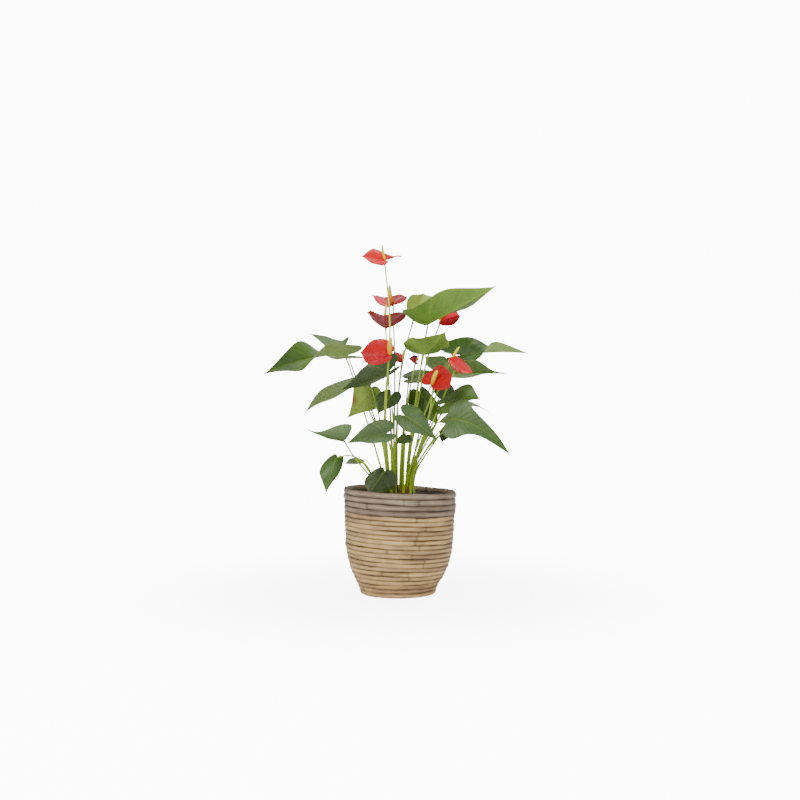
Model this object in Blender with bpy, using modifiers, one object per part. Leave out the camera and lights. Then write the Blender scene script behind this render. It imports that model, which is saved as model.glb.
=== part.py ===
"""Potted anthurium in a round cane basket: heart-shaped leaves on long petioles, red spathes with
yellow spadices on their own stems, soil in a plain inner pot, and the basket of stacked cane rods.
Metres, +Z up, the origin at the middle of the flat underside."""
import bpy
import bmesh
import math
import numpy as np
from mathutils import Vector

MM = 0.001

# basket
BASKET_TOP = 0.200          # rim, above the table
ROD_PITCH = 0.0087          # height of one cane rod of the body
BAND_PITCH = 0.0110         # height of one rod of the rim band
BAND_RODS = 4
BASKET_WALL = 0.0070        # middle of the wall from its outer face
BASKET_TURN = 32            # facets round
TILT = 0.040                # the weave climbs toward -X by this much per metre
LEAN = 0.022                # and the basket, with its pot, leans toward +X by this much
# height and outer radius of the basket
BASKET_PROFILE = [(0, 73), (12, 75.7), (20, 79.5), (28, 85), (36, 88.3), (43, 92), (51, 95), (59, 98), (66, 99.5), (74, 101), (82, 103.4),
                  (90, 104.6), (105, 105), (121, 105.7), (136, 106.7), (152, 107.2), (167, 108.6), (183, 109.6), (200, 110)]
FLOOR_T = 0.006             # woven floor disc
# inner pot
POT_FOOT, POT_FOOT_R = 0.008, 0.060
POT_TOP, POT_TOP_R = 0.188, 0.0955
POT_WALL = 0.0020
# soil
SOIL_Z = 0.183
SOIL_DOME = 0.006
# plant
CROWN_XY = np.array([0.002, 0.0])
CROWN_R = 0.031             # the stems leave the soil inside this circle
STEM_PITCH = 0.0088         # least spacing there
STEM_CLEAR = 0.0056         # least spacing of stem middles higher up
STEM_FOOT = 0.0012          # gap over the soil
LEAF_T = 0.0010
SPATHE_T = 0.0010
X_WIDE, X_OUTER = 0.10, 0.60
PETIOLE_FOOT_R, PETIOLE_TOP_R = 0.0021, 0.0014
PEDUNCLE_FOOT_R, PEDUNCLE_TOP_R = 0.0021, 0.0015
THROAT = 0.0034             # clear radius of the spathe round its stem
GAP = 0.0003

# name: attach and tip points, optional middle of the midrib, and the (x, z, side) places of the
# widest point of each half; side -1 hangs toward -Y, +1 toward +Y, 0 in the plane of the midrib.
LEAVES = {
    "L01": dict(attach=(-102, -8, 459), tip=(-252, -78, 420), mid=(-176, -38, 450), left=(-123, 481, -1), left2=(-197, 426, -1), right=(-118, 455, 1), right2=(-207, 471, 1), width=0.64, cup=0.03, lift_left=0.1),
    "L02": dict(attach=(-107, 82, 484), tip=(-184, 128, 510), left=(-128, 473, -1), right=(-123, 498, 1), width=0.72, cup=0.05, lift_left=0.5, lift_right=1.25, lobe_back=0.6),
    "L03": dict(attach=(-89, 92, 418), tip=(-185, 36, 345), mid=(-140, 60, 393), left=(-107, 414, -1), left2=(-157, 389, -1), right=(-99, 401, 1), right2=(-148, 369, 1), width=0.6),
    "L04": dict(attach=(-19, -4, 427), tip=(-108, -56, 392), mid=(-67, -28, 403), left=(-32, 416, -1), right=(-44, 456, 1), width=0.78),
    "L05": dict(attach=(-52, 2, 398), tip=(-101, 38, 336), mid=(-70, 14, 371), left=(-83, 412, 0), right=(-33, 363, 0), width=0.9, cup=-0.1),
    "L06": dict(attach=(-13, -26, 384), tip=(-37, -34, 347), left=(4, 371, 0), right=(-40, 381, 0), width=0.95),
    "L07": dict(attach=(-102, -50, 295), tip=(-178, -40, 319), mid=(-140, -48, 303), left=(-112, 296, -1), right=(-96, 328, 1), width=0.8, form="drip", cup=0, lift_right=0.5, lobe_back=0.3),
    "L08": dict(attach=(-22, -84, 310), tip=(-95, -132, 293), mid=(-59, -106, 303), left=(-29, 298, -1), right=(-37, 338, 1), width=0.8),
    "L09": dict(attach=(13, -60, 343), tip=(74, -95, 297), mid=(43, -82, 323), left=(36, 362, 1), right=(11, 321, -1), width=0.8),
    "L10": dict(attach=(15, -55, 307), tip=(-2, -70, 290), left=(25, 294, 0), right=(2, 305, 0), width=0.95),
    "L11": dict(attach=(-26, -45, 238), tip=(-56, -62, 196), left=(-7, 208, 0), right=(-61, 227, 0), width=1.0),
    "L12": dict(attach=(-114, -70, 265), tip=(-134, -88, 197), mid=(-125, -84, 237), left=(-106, 240, 0), right=(-146, 249, 0), width=0.72, cup=0.15),
    "L13": dict(attach=(-67, -24, 253), tip=(-102, -42, 252), left=(-82, 249, -1), right=(-86, 263, 1), width=0.6),
    "L14": dict(attach=(92, -22, 367), tip=(156, -50, 373), mid=(126, -40, 377), left=(93, 383, 1), left2=(143, 398, 1), right=(99, 352, -1), right2=(132, 371, -1), width=0.8),
    "L15": dict(attach=(104, -66, 337), tip=(210, -98, 269), mid=(155, -84, 319), left=(130, 371, 1), right=(106, 304, -1), width=0.62, form="hast"),
    "L16": dict(attach=(108, 70, 377), tip=(189, 50, 341), mid=(152, 60, 365), left=(125, 377, 1), right=(119, 365, -1), width=0.6, form="drip"),
    "L17": dict(attach=(102, 15, 320), tip=(84, 5, 289), left=(107, 307, 0), right=(82, 311, 0), width=0.8),
    "L18": dict(attach=(44, 40, 389), tip=(76, 15, 324), mid=(61, 25, 357), left=(77, 373, 0), right=(24, 357, 0), width=1.0),
    "L19": dict(attach=(22, 60, 415), tip=(85, 96, 428), left=(34, 436, 1), right=(39, 410, -1), width=0.85),
    "L20": dict(attach=(86, 126, 435), tip=(54, 84, 462), left=(61, 439, 0), right=(100, 459, 0), width=0.85),
    "L21": dict(attach=(124, 0, 460), tip=(250, -40, 461), mid=(193, -15, 465), left=(129, 498, 1), left2=(208, 468, 1), right=(141, 453, -1), right2=(201, 482, -1), width=0.62),
    "L22": dict(attach=(101, 45, 424), tip=(222, 40, 424), mid=(166, 45, 426), left=(131, 459, 1), right=(125, 420, -1), width=0.64, form="drip", lobe_back=0.5),
    "L23": dict(attach=(50, -2, 461), tip=(90, -80, 501), mid=(69, -35, 476), left=(94, 475, -1), right=(12, 487, -1), width=0.95, cup=0, wave=0.12, waves=2.2, phase=0.2),
    "L24": dict(attach=(58, -5, 518), tip=(188, -45, 590), mid=(123, -22, 553), left=(67, 531, 1), left2=(155, 563, 1), right=(42, 556, -1), right2=(127, 588, -1), width=0.7, cup=0, lift_left=0.75, lift_right=0.62, belly=0.05),
    "L25": dict(attach=(32, 42, 537), tip=(52, 86, 589), left=(69, 571, 1), right=(22, 575, 1), width=0.9, cup=-0.1),
    "L26": dict(attach=(80, 26, 409), tip=(112, 22, 369), left=(107, 401, 0), right=(76, 380, 0), width=0.9),
    "L27": dict(attach=(114, 24, 344), tip=(76, 6, 328), left=(108, 329, -1), right=(106, 353, 1), width=0.8),
}
# the same for each spathe, and the tip of its spadix
FLOWERS = {
    "F1": dict(attach=(-25, -10, 643), tip=(-70, -40, 646), left=(-38, 633, -1), right=(-38, 668, 1), width=1.05, form_right="tail", lift_right=0.25, spadix=(-30, -24, 671)),
    "F2": dict(attach=(-10, 74, 564), tip=(-29, 122, 584), left=(-52, 580, 0), right=(18, 581, 0), width=1.1, wave=0.10, cup=-0.05, lift_left=-0.7, spadix=(-17, 66, 604)),
    "F3": dict(attach=(-24, 35, 515), tip=(-27, -24, 536), left=(18, 540, 0), right=(-62, 541, 0), width=1.15, cup=-0.12, wave=0.07, spadix=(-23, 38, 562)),
    "F4": dict(attach=(-15, -78, 458), tip=(-70, -108, 461), left=(-45, 439, -1), right=(-31, 490, 1), width=1.12, spadix=(-13, -93, 489)),
    "F5": dict(attach=(10, 45, 452), tip=(-13, 25, 463), left=(-2, 450, -1), right=(4, 468, 1), width=1.15, spadix=(12, 36, 472)),
    "F6": dict(attach=(36, 34, 448), tip=(20, 20, 454), left=(35, 444, -1), right=(36, 462, 1), width=1.3, spadix=(41, 26, 461)),
    "F7": dict(attach=(65, -50, 402), tip=(102, -78, 421), left=(72, 438, 1), right=(89, 396, -1), width=1.4, lobe_left=2.5, spadix=(74, -70, 428)),
    "F8": dict(attach=(104, -55, 454), tip=(140, -82, 423), left=(122, 453, 1), right=(107, 431, -1), width=0.85, spadix=(116, -62, 473)),
    "F9": dict(attach=(84, 56, 530), tip=(124, 34, 537), left=(101, 554, 1), right=(103, 521, -1), width=0.95, spadix=(88, 36, 555)),
}
# points that a stem passes on its way up, where it does not rise in a plain arch
VIA = {
    "L01": [(-33, -12, 242), (-48, 6, 293), (-63, 30, 338), (-83, 36, 397), (-91, 22, 430)],
    "L02": [(-28, 14, 290), (-60, 36, 356), (-76, 42, 400), (-88, 47, 428), (-99, 62, 456)],
    "L07": [(-57, -28, 231), (-70, -34, 247), (-87, -44, 270), (-98, -49, 288)],
    "L12": [(-53, -36, 232), (-64, -48, 254), (-77, -57, 266), (-90, -64, 271), (-101, -68, 271)],
    "L13": [(-50, -16, 227), (-57, -22, 246)],
    "L14": [(23, -4, 230), (50, -14, 282), (73, -20, 325)],
    "L15": [(21, -14, 223), (44, -24, 262), (69, -36, 301), (91, -50, 328)],
    "L16": [(24, 28, 235), (59, 44, 302), (92, 64, 353)],
    "L17": [(27, 6, 229), (55, 8, 276), (82, 12, 307)],
    "L21": [(25, 4, 237), (62, 4, 314), (86, 12, 374), (108, 0, 425)],
    "L22": [(24, 20, 236), (59, 42, 314), (83, 48, 383)],
    "L23": [(27, -4, 296), (37, 2, 398), (45, 8, 441)],
    "L24": [(23, 2, 276), (39, 12, 396), (47, 24, 459), (52, 16, 490)],
    "L25": [(-4, 14, 295), (2, 22, 402), (12, 34, 468), (19, 38, 491)],
    "L27": [(31, 14, 229), (63, 16, 279), (94, 20, 320)],
    "F1": [(-17, -18, 238), (-24, -30, 296), (-25, -42, 344), (-22, -54, 398), (-17, -56, 450), (-13, -48, 500), (-15, -34, 552), (-22, -20, 604)],
    "F2": [(-8, 28, 294), (-6, 58, 433), (-9, 70, 523)],
    "F3": [(-12, 8, 295), (-20, 26, 432), (-23, 33, 491)],
    "F4": [(-21, -27, 239), (-26, -50, 316), (-23, -68, 392), (-17, -76, 439)],
    "F5": [(-2, 24, 295), (0, 32, 383), (5, 40, 422)],
    "F6": [(12, 12, 314), (22, 24, 389), (30, 30, 424)],
    "F7": [(33, -20, 267), (59, -38, 335), (64, -46, 381)],
    "F8": [(25, -16, 246), (50, -30, 316), (80, -38, 402), (97, -50, 437)],
    "F9": [(26, 18, 295), (51, 40, 428), (67, 52, 492)],
}
# half outlines with the attach point at 0,0 and the tip at 1,0
FORMS = {
    "leaf": [(-.07, .02), (-.17, .07), (-.235, .14), (-.25, .225), (-.19, .31), (-.06, .375), (.10, .395), (.26, .37), (.42, .305), (.58, .215), (.72, .135), (.84, .07), (.93, .026), (1, 0)],
    "hast": [(-.06, .03), (-.13, .10), (-.16, .20), (-.14, .30), (-.05, .375), (.06, .39), (.17, .33), (.28, .25), (.42, .185), (.58, .14), (.72, .105), (.84, .065), (.93, .026), (1, 0)],
    "drip": [(-.07, .02), (-.17, .07), (-.235, .14), (-.25, .225), (-.19, .31), (-.06, .375), (.10, .395), (.24, .36), (.37, .285), (.49, .19), (.60, .105), (.72, .05), (.85, .025), (1, 0)],
    "spathe": [(-.07, .03), (-.16, .10), (-.22, .20), (-.22, .32), (-.14, .42), (0, .47), (.16, .475), (.34, .43), (.52, .34), (.68, .235), (.81, .13), (.91, .055), (.965, .018), (1, 0)],
    "tail": [(-.12, .012), (-.30, .02), (-.48, .025), (-.62, .03), (-.70, .03), (-.76, .06), (-.70, .10), (-.60, .085), (-.40, .09), (-.16, .24), (.05, .40), (.20, .475), (.36, .43), (.52, .34), (.68, .235), (.81, .13), (.91, .055), (.965, .018), (1, 0)],
}

for ob in list(bpy.data.objects):
    bpy.data.objects.remove(ob, do_unlink=True)
parts = bpy.data.collections.new("potted_anthurium")
bpy.context.scene.collection.children.link(parts)


def smooth_path(points, count):
    """Catmull-Rom curve through the points, with even steps along its length."""
    pts = np.asarray(points, float)
    ext = np.vstack([2 * pts[0] - pts[1], pts, 2 * pts[-1] - pts[-2]])
    dense = []
    for i in range(len(pts) - 1):
        t = np.linspace(0, 1, 24, endpoint=(i == len(pts) - 2))[:, None]
        a, b, c, d = ext[i:i + 4]
        dense.append(0.5 * (2 * b + (c - a) * t + (2 * a - 5 * b + 4 * c - d) * t ** 2 + (3 * b - a - 3 * c + d) * t ** 3))
    dense = np.vstack(dense)
    s = np.r_[0, np.cumsum(np.linalg.norm(np.diff(dense, axis=0), axis=1))]
    q = np.linspace(0, s[-1], count)
    return np.stack([np.interp(q, s, dense[:, j]) for j in range(dense.shape[1])], -1)


def arch(p0, p1, p2, p3, count):
    t = np.linspace(0, 1, count)[:, None]
    return (1 - t) ** 3 * p0 + 3 * (1 - t) ** 2 * t * p1 + 3 * (1 - t) * t ** 2 * p2 + t ** 3 * p3


def unit(v):
    return v / (np.linalg.norm(v, axis=-1, keepdims=True) + 1e-12)


def blade(spec, x, y, ymax_l, ymax_r, form):
    """Places the flat points (x, y) of a heart-shaped blade, attach point 0,0 and tip 1,0, in space."""
    a = np.array(spec["attach"], float) * MM
    t = np.array(spec["tip"], float) * MM
    m = np.array(spec["mid"], float) * MM if "mid" in spec else (a + t) / 2
    c = 2 * m - (a + t) / 2
    length = np.linalg.norm(t - a)
    half = spec["width"] * length / 2

    def midrib(u):
        u = np.asarray(u, float)[..., None]
        return np.where(u >= 0, (1 - u) ** 2 * a + 2 * (1 - u) * u * c + u ** 2 * t, a + 2 * u * (c - a))

    def half_vector(place, u):
        share = half_width_at(form, u) / half_width_at(form, None)
        base = midrib(u)
        v = np.array([place[0] * MM - base[0], 0, place[1] * MM - base[2]])
        v[1] = place[2] * math.sqrt(max((half * share) ** 2 - v @ v, 0))
        return v / share

    n_left = half_vector(spec["left"], X_WIDE)
    n_right = half_vector(spec["right"], X_WIDE)
    o_left = half_vector(spec["left2"], X_OUTER) if "left2" in spec else n_left
    o_right = half_vector(spec["right2"], X_OUTER) if "right2" in spec else n_right
    left = (y >= 0)
    side = left[..., None]
    q = np.clip((x - X_WIDE) / (X_OUTER - X_WIDE), 0, 1)
    q = (q * q * (3 - 2 * q))[..., None]
    v1, v2 = np.where(side, n_left, n_right), np.where(side, o_left, o_right)
    size = np.linalg.norm(v1, axis=-1, keepdims=True) * (1 - q) + np.linalg.norm(v2, axis=-1, keepdims=True) * q
    v = unit(v1 * (1 - q) + v2 * q) * size
    along = unit(midrib(x + .01) - midrib(x - .01))
    normal = unit(np.cross(along, v)) * np.where(side, 1, -1)
    r = np.abs(y) / np.where(left, ymax_l, ymax_r)
    wave = spec.get("wave", .03) * np.sin(2 * math.pi * (spec.get("waves", 1.7) * x + spec.get("phase", 0) + np.where(left, 0, .37)))
    bulge = (wave - spec.get("cup", .12)) * r ** 2 + spec.get("belly", .10) * r * (1 - r)
    back = np.clip(-x / .25, 0, 2) ** 1.4
    lift = np.where(left, spec.get("lift_left", 0), spec.get("lift_right", 0)) * back * length * .25
    p = midrib(x) + v * r[..., None] + normal * (half * bulge)[..., None]
    p[..., 2] += lift
    return p, normal, length


def half_width_at(form, u):
    pts = np.array(FORMS[form], float)
    if u is None:
        return pts[:, 1].max()
    k = int(np.argmin(pts[:, 0]))
    return float(np.interp(u, pts[k:, 0], pts[k:, 1]))


def outline(spec, form, count):
    """The whole outline in flat coordinates: left lobe, left margin, tip, right margin, right lobe."""
    form_r = spec.get("form_right", form)
    left = smooth_path(FORMS[form], count)
    right = smooth_path(FORMS[form_r], count)
    back = spec.get("lobe_back", 1.0)
    left[:, 0] = np.where(left[:, 0] < 0, left[:, 0] * spec.get("lobe_left", back), left[:, 0])
    right[:, 0] = np.where(right[:, 0] < 0, right[:, 0] * spec.get("lobe_right", back), right[:, 0])
    left[:, 1] = np.maximum(left[:, 1], 0)
    right[:, 1] = np.maximum(right[:, 1], 0)
    edge = np.vstack([left[:-1], right[::-1] * (1, -1)])
    return edge, half_width_at(form, None), half_width_at(form_r, None)


def axis_at(spec, form):
    """Where the upper side faces, right at the attach point."""
    flat = np.array([[.05, .05], [.05, -.05]])
    _, normal, _ = blade(spec, flat[:, 0], flat[:, 1], half_width_at(form, None), half_width_at(form, None), form)
    return unit(normal.sum(0))


def stem_bases(ends):
    """Where each stem leaves the soil: leaning its own way, then pushed apart to at least STEM_PITCH."""
    names = list(ends)
    start = []
    for n in names:
        lead = np.array(VIA[n][0] if n in VIA else ends[n], float) * MM
        flat = lead[:2] - CROWN_XY
        lean = np.hypot(*flat) / (lead[2] - SOIL_Z)
        reach = CROWN_R * min(1.0, .95 * math.sqrt(min(1.0, .25 + .72 * lean)))
        start.append(reach * flat / (np.hypot(*flat) + 1e-9))
    start = np.array(start)
    x = start.copy()
    for _ in range(400):
        d = x[:, None] - x[None]
        r = np.linalg.norm(d, axis=-1) + np.eye(len(x))
        x = x + (d / r[..., None] * np.where(r < STEM_PITCH, STEM_PITCH - r, 0)[..., None]).sum(1) * .25 + (start - x) * .01
        over = np.linalg.norm(x, axis=1)
        x = np.where((over > CROWN_R)[:, None], x * (CROWN_R / over)[:, None], x)
    return dict(zip(names, x + CROWN_XY))


def stem_paths(ends):
    """The middle line of every stem from the soil to its blade or flower, eased clear of each other."""
    bases = stem_bases(ends)
    names = list(ends)
    lines = []
    for n in names:
        top = np.array(ends[n], float) * MM
        foot = np.array([*bases[n], soil_height(*bases[n]) + STEM_FOOT])
        under = []
        if n in FLOWERS:
            axis = axis_at(FLOWERS[n], "spathe")
            under = [top - axis * .010 - (0, 0, .008)]
            top = top - axis * .0022
        if n in VIA:
            pts = [foot, foot + (0, 0, .012)] + [np.array(p, float) * MM for p in VIA[n]] + under + [top]
            lines.append(smooth_path(pts, 24))
        else:
            d = top - foot
            assert not under
            lines.append(smooth_path(arch(foot, foot + (d[0] * .1, d[1] * .1, d[2] * .5), top - (d[0] * .38, d[1] * .38, d[2] * .16), top, 24), 24))
    x = np.array(lines)
    first = x.copy()
    count, steps = x.shape[:2]
    hold = np.minimum(1, (1 - np.arange(steps) / (steps - 1)) * 5)[None, :, None]
    owner = np.repeat(np.arange(count), steps)
    for _ in range(45):
        flat = x.reshape(-1, 3)
        d = flat[:, None] - flat[None]
        r = np.sqrt((d * d).sum(-1))
        near = (r < STEM_CLEAR) & (owner[:, None] != owner[None])
        d[..., 2] *= .2
        push = (d * (np.where(near, STEM_CLEAR - r, 0) / (r + 1e-9))[..., None]).sum(1).reshape(count, steps, 3) * .3
        for _ in range(4):
            push[:, 1:-1] = (push[:, :-2] + 2 * push[:, 1:-1] + push[:, 2:]) / 4
        x = x + push * hold * 2 + (first - x) * .01 * hold
        x[:, 1:-1] += .15 * ((x[:, :-2] + x[:, 2:]) / 2 - x[:, 1:-1])
        x[:, 0, 2] = [soil_height(p[0], p[1]) + STEM_FOOT for p in x[:, 0]]
    return {n: x[i] for i, n in enumerate(names)}


def soil_height(x, y):
    return SOIL_Z + SOIL_DOME * math.exp(-((x - CROWN_XY[0]) ** 2 + (y - CROWN_XY[1]) ** 2) / .045 ** 2)


def material(name, color, rough, metal=0.0):
    m = bpy.data.materials.new(name)
    m.use_nodes = True
    b = m.node_tree.nodes["Principled BSDF"]
    b.inputs["Base Color"].default_value = (*color, 1)
    b.inputs["Roughness"].default_value = rough
    b.inputs["Metallic"].default_value = metal
    return m


def add(mesh, name, mat):
    ob = bpy.data.objects.new(name, mesh)
    parts.objects.link(ob)
    if mat is not None:
        mesh.materials.clear()
        mesh.materials.append(mat)
    return ob


def evaluated(ob, weld=2e-6):
    """The object's mesh with its modifiers or its bevel, welded; the object itself goes."""
    bpy.context.view_layer.update()
    dep = bpy.context.evaluated_depsgraph_get()
    mesh = bpy.data.meshes.new_from_object(ob.evaluated_get(dep))
    bm = bmesh.new()
    bm.from_mesh(mesh)
    bmesh.ops.remove_doubles(bm, verts=bm.verts, dist=weld)
    bmesh.ops.dissolve_degenerate(bm, edges=bm.edges, dist=weld / 2)
    bm.to_mesh(mesh)
    bm.free()
    bpy.data.objects.remove(ob, do_unlink=True)
    return mesh


def sheet(spec, form, columns, rows, throat=0.0):
    """A flat grid laid over the blade's outline and then bent to its place."""
    edge, yl, yr = outline(spec, form, columns)
    n = len(edge)
    bm = bmesh.new()
    bmesh.ops.create_grid(bm, x_segments=n - 1, y_segments=rows, size=0.5)
    bm.verts.ensure_lookup_table()
    col = np.rint((np.array([v.co.x for v in bm.verts]) + .5) * (n - 1)).astype(int)
    row = (np.array([v.co.y for v in bm.verts]) + .5)
    length = np.linalg.norm(np.subtract(spec["tip"], spec["attach"])) * MM
    e = edge[col]
    reach = np.linalg.norm(e, axis=1)
    inner = np.minimum(throat / length / reach, .9)
    flat = e * (inner + (1 - inner) * row)[:, None]
    side = np.where(e[:, 1] > 0, 1, np.where(e[:, 1] < 0, -1, 0))
    y = np.where((flat[:, 1] == 0) & (side < 0), -1e-9, flat[:, 1])
    p, _, _ = blade(spec, flat[:, 0], y, yl, yr, form)
    for v, q in zip(bm.verts, p):
        v.co = Vector(q)
    bmesh.ops.remove_doubles(bm, verts=bm.verts, dist=1e-5)
    bmesh.ops.dissolve_degenerate(bm, edges=bm.edges, dist=1e-6)
    bmesh.ops.recalc_face_normals(bm, faces=bm.faces)
    mesh = bpy.data.meshes.new("sheet")
    bm.to_mesh(mesh)
    bm.free()
    return mesh


def thicken(mesh, name, thick):
    ob = add(mesh, name, None)
    s = ob.modifiers.new("thickness", "SOLIDIFY")
    s.thickness = thick
    s.offset = 0
    s.use_even_offset = False
    return ob


def upright_foot(path):
    """The stem leaves the soil straight up, so its foot stands level."""
    return np.vstack([path[0], path[0] + (0, 0, .005), path[1:]])


def tube(path, r_foot, r_top, name, power=1.0):
    """A tapering stem along the path: a poly curve with a bevel and filled caps."""
    cu = bpy.data.curves.new(name, "CURVE")
    cu.dimensions = "3D"
    cu.bevel_depth = 1.0
    cu.bevel_resolution = 1
    cu.use_fill_caps = True
    sp = cu.splines.new("POLY")
    sp.points.add(len(path) - 1)
    for i, p in enumerate(path):
        u = i / (len(path) - 1)
        sp.points[i].co = (*p, 1)
        sp.points[i].radius = r_foot + (r_top - r_foot) * u ** power
    ob = bpy.data.objects.new(name, cu)
    parts.objects.link(ob)
    mesh = evaluated(ob)
    return mesh


def turned(profile, name, mat, steps):
    """A closed profile of (radius, height), outer side from the top down, turned round Z."""
    bm = bmesh.new()
    vs = [bm.verts.new((r, 0, z)) for r, z in profile]
    for a, b in zip(vs, vs[1:] + vs[:1]):
        bm.edges.new((a, b))
    mesh = bpy.data.meshes.new(name)
    bm.to_mesh(mesh)
    bm.free()
    ob = add(mesh, name, mat)
    s = ob.modifiers.new("turn", "SCREW")
    s.steps = s.render_steps = steps
    s.merge_threshold = 1e-5
    s.use_merge_vertices = True
    s.use_smooth_shade = True
    return ob


def basket_radius(z):
    zs, rs = zip(*BASKET_PROFILE)
    return float(np.interp(z / MM, zs, rs)) * MM


def rod_ring(z_bottom, z_top, rods, name, mat, swell):
    """One closed ring of stacked rods: a bumpy outer face and a plain inner face."""
    pitch = (z_top - z_bottom) / rods
    outer = []
    for i in range(rods):
        z = z_top - i * pitch
        outer.append((basket_radius(z) - swell, z))
        outer.append((basket_radius(z - pitch / 2) + .0003, z - pitch / 2))
    outer.append((basket_radius(z_bottom) - swell, z_bottom))
    inner = [(basket_radius(z) - BASKET_WALL, z) for z in np.linspace(z_bottom, z_top, max(2, int(round((z_top - z_bottom) / .03)) + 1))]
    ob = turned(outer + inner, name, mat, BASKET_TURN)
    mesh = evaluated(ob)
    # the weave climbs toward -X from a level foot to the full tilt above a quarter of the height
    for v in mesh.vertices:
        k = min(1.0, max(0.0, (v.co.z - .010) / .060))
        z = v.co.z
        v.co.z -= TILT * v.co.x * k * k * (3 - 2 * k)
        v.co.x += LEAN * z
    for p in mesh.polygons:
        p.use_smooth = True
    return add(mesh, name, mat)


CANE = material("cane_tan", (.56, .43, .30), .65)
BAND = material("cane_grey_brown", (.38, .31, .24), .65)
POT = material("pot_brown_plastic", (.05, .038, .028), .5)
SOIL = material("soil", (.035, .025, .018), .95)

band_bottom = BASKET_TOP - BAND_RODS * BAND_PITCH
rods = int(round(band_bottom / ROD_PITCH))
rod_ring(0.0, band_bottom - GAP, rods, "basket_wall", CANE, .0012)
rod_ring(band_bottom, BASKET_TOP, BAND_RODS, "basket_rim_band", BAND, .0016)

def open_axis(name):
    """Takes away the profile edges on the axis, which the turn would only double."""
    ob = parts.objects[name]
    b = bmesh.new()
    b.from_mesh(ob.data)
    bmesh.ops.delete(b, geom=[e for e in b.edges if all(abs(v.co.x) < 1e-9 for v in e.verts)], context="EDGES")
    b.to_mesh(ob.data)
    b.free()


# floor disc inside the lowest rods, its underside level with theirs
floor_r = basket_radius(0) - BASKET_WALL - GAP * 2
turned([(0, FLOOR_T), (floor_r, FLOOR_T), (floor_r, 0), (0, 0)], "basket_floor", CANE, BASKET_TURN)
open_axis("basket_floor")

def leaned(name):
    """The pot and its soil lean with the basket."""
    ob = parts.objects[name]
    mesh = evaluated(ob)
    for v in mesh.vertices:
        v.co.x += LEAN * v.co.z
    mat = mesh.materials[0]
    add(mesh, name, mat)


# inner pot: tapered cup with a small lip
w = POT_WALL
turned([(POT_TOP_R + .003, POT_TOP), (POT_TOP_R + .003, POT_TOP - .008), (POT_TOP_R, POT_TOP - .009), (POT_FOOT_R, POT_FOOT),
        (0, POT_FOOT), (0, POT_FOOT + w), (POT_FOOT_R - w, POT_FOOT + w), (POT_TOP_R - w, POT_TOP)], "inner_pot", POT, 32)
open_axis("inner_pot")
leaned("inner_pot")

# soil: fills the pot to just under the lip, a little higher round the stems
slope = (POT_TOP_R - POT_FOOT_R) / (POT_TOP - POT_FOOT)
low = POT_FOOT + w + GAP
edge_r = POT_FOOT_R - w - GAP + slope * (SOIL_Z - low)
top = [(r, SOIL_Z + SOIL_DOME * math.exp(-r * r / .045 ** 2)) for r in (0, .014, .028, .042, .060)]
turned(top + [(edge_r, SOIL_Z), (POT_FOOT_R - w - GAP, low), (0, low)], "soil", SOIL, 32)
open_axis("soil")
leaned("soil")

LEAF_DARK = material("leaf_green", (.07, .16, .04), .4)
LEAF_LIGHT = material("leaf_light_green", (.22, .33, .07), .45)
SPATHE = material("spathe_red", (.60, .02, .03), .3)
SPADIX = material("spadix_yellow", (.90, .45, .10), .5)
PEDUNCLE = material("stem_green", (.33, .38, .12), .45)

ends = {n: s["attach"] for n, s in {**LEAVES, **FLOWERS}.items()}
paths = stem_paths(ends)
LIGHT = {"L01", "L03", "L05", "L23", "L24", "L25"}

def closed(mesh):
    """True when every edge has exactly two faces."""
    bm = bmesh.new()
    bm.from_mesh(mesh)
    good = len(bm.faces) > 0 and all(len(e.link_faces) == 2 for e in bm.edges)
    bm.free()
    return good


def leaf(n, spec, mat, reach):
    """A blade and its petiole as one body; the petiole's end reaches this far into the blade."""
    name = "leaf_" + n[1:]
    body = add(evaluated(thicken(sheet(spec, spec.get("form", "leaf"), 8, 2), name + "_blade", LEAF_T)), name, mat)
    path = upright_foot(smooth_path(paths[n], 8))
    path[-1] += unit(path[-1] - path[-2]) * reach
    stem = add(tube(path, PETIOLE_FOOT_R, PETIOLE_TOP_R, name + "_petiole"), name + "_petiole", mat)
    b = body.modifiers.new("petiole", "BOOLEAN")
    b.operation = "UNION"
    b.solver = "EXACT"
    b.object = stem
    mesh = evaluated(body, 4e-6)
    bpy.data.objects.remove(stem, do_unlink=True)
    for p in mesh.polygons:
        p.use_smooth = True
    mesh.set_sharp_from_angle(angle=math.radians(40))
    return mesh


for n, spec in LEAVES.items():
    mat = LEAF_LIGHT if n in LIGHT else LEAF_DARK
    for reach in (.0003, .0005, .0007, .0001, .0009):
        mesh = leaf(n, spec, mat, reach)
        if closed(mesh):
            break
    add(mesh, "leaf_" + n[1:], mat)

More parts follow.
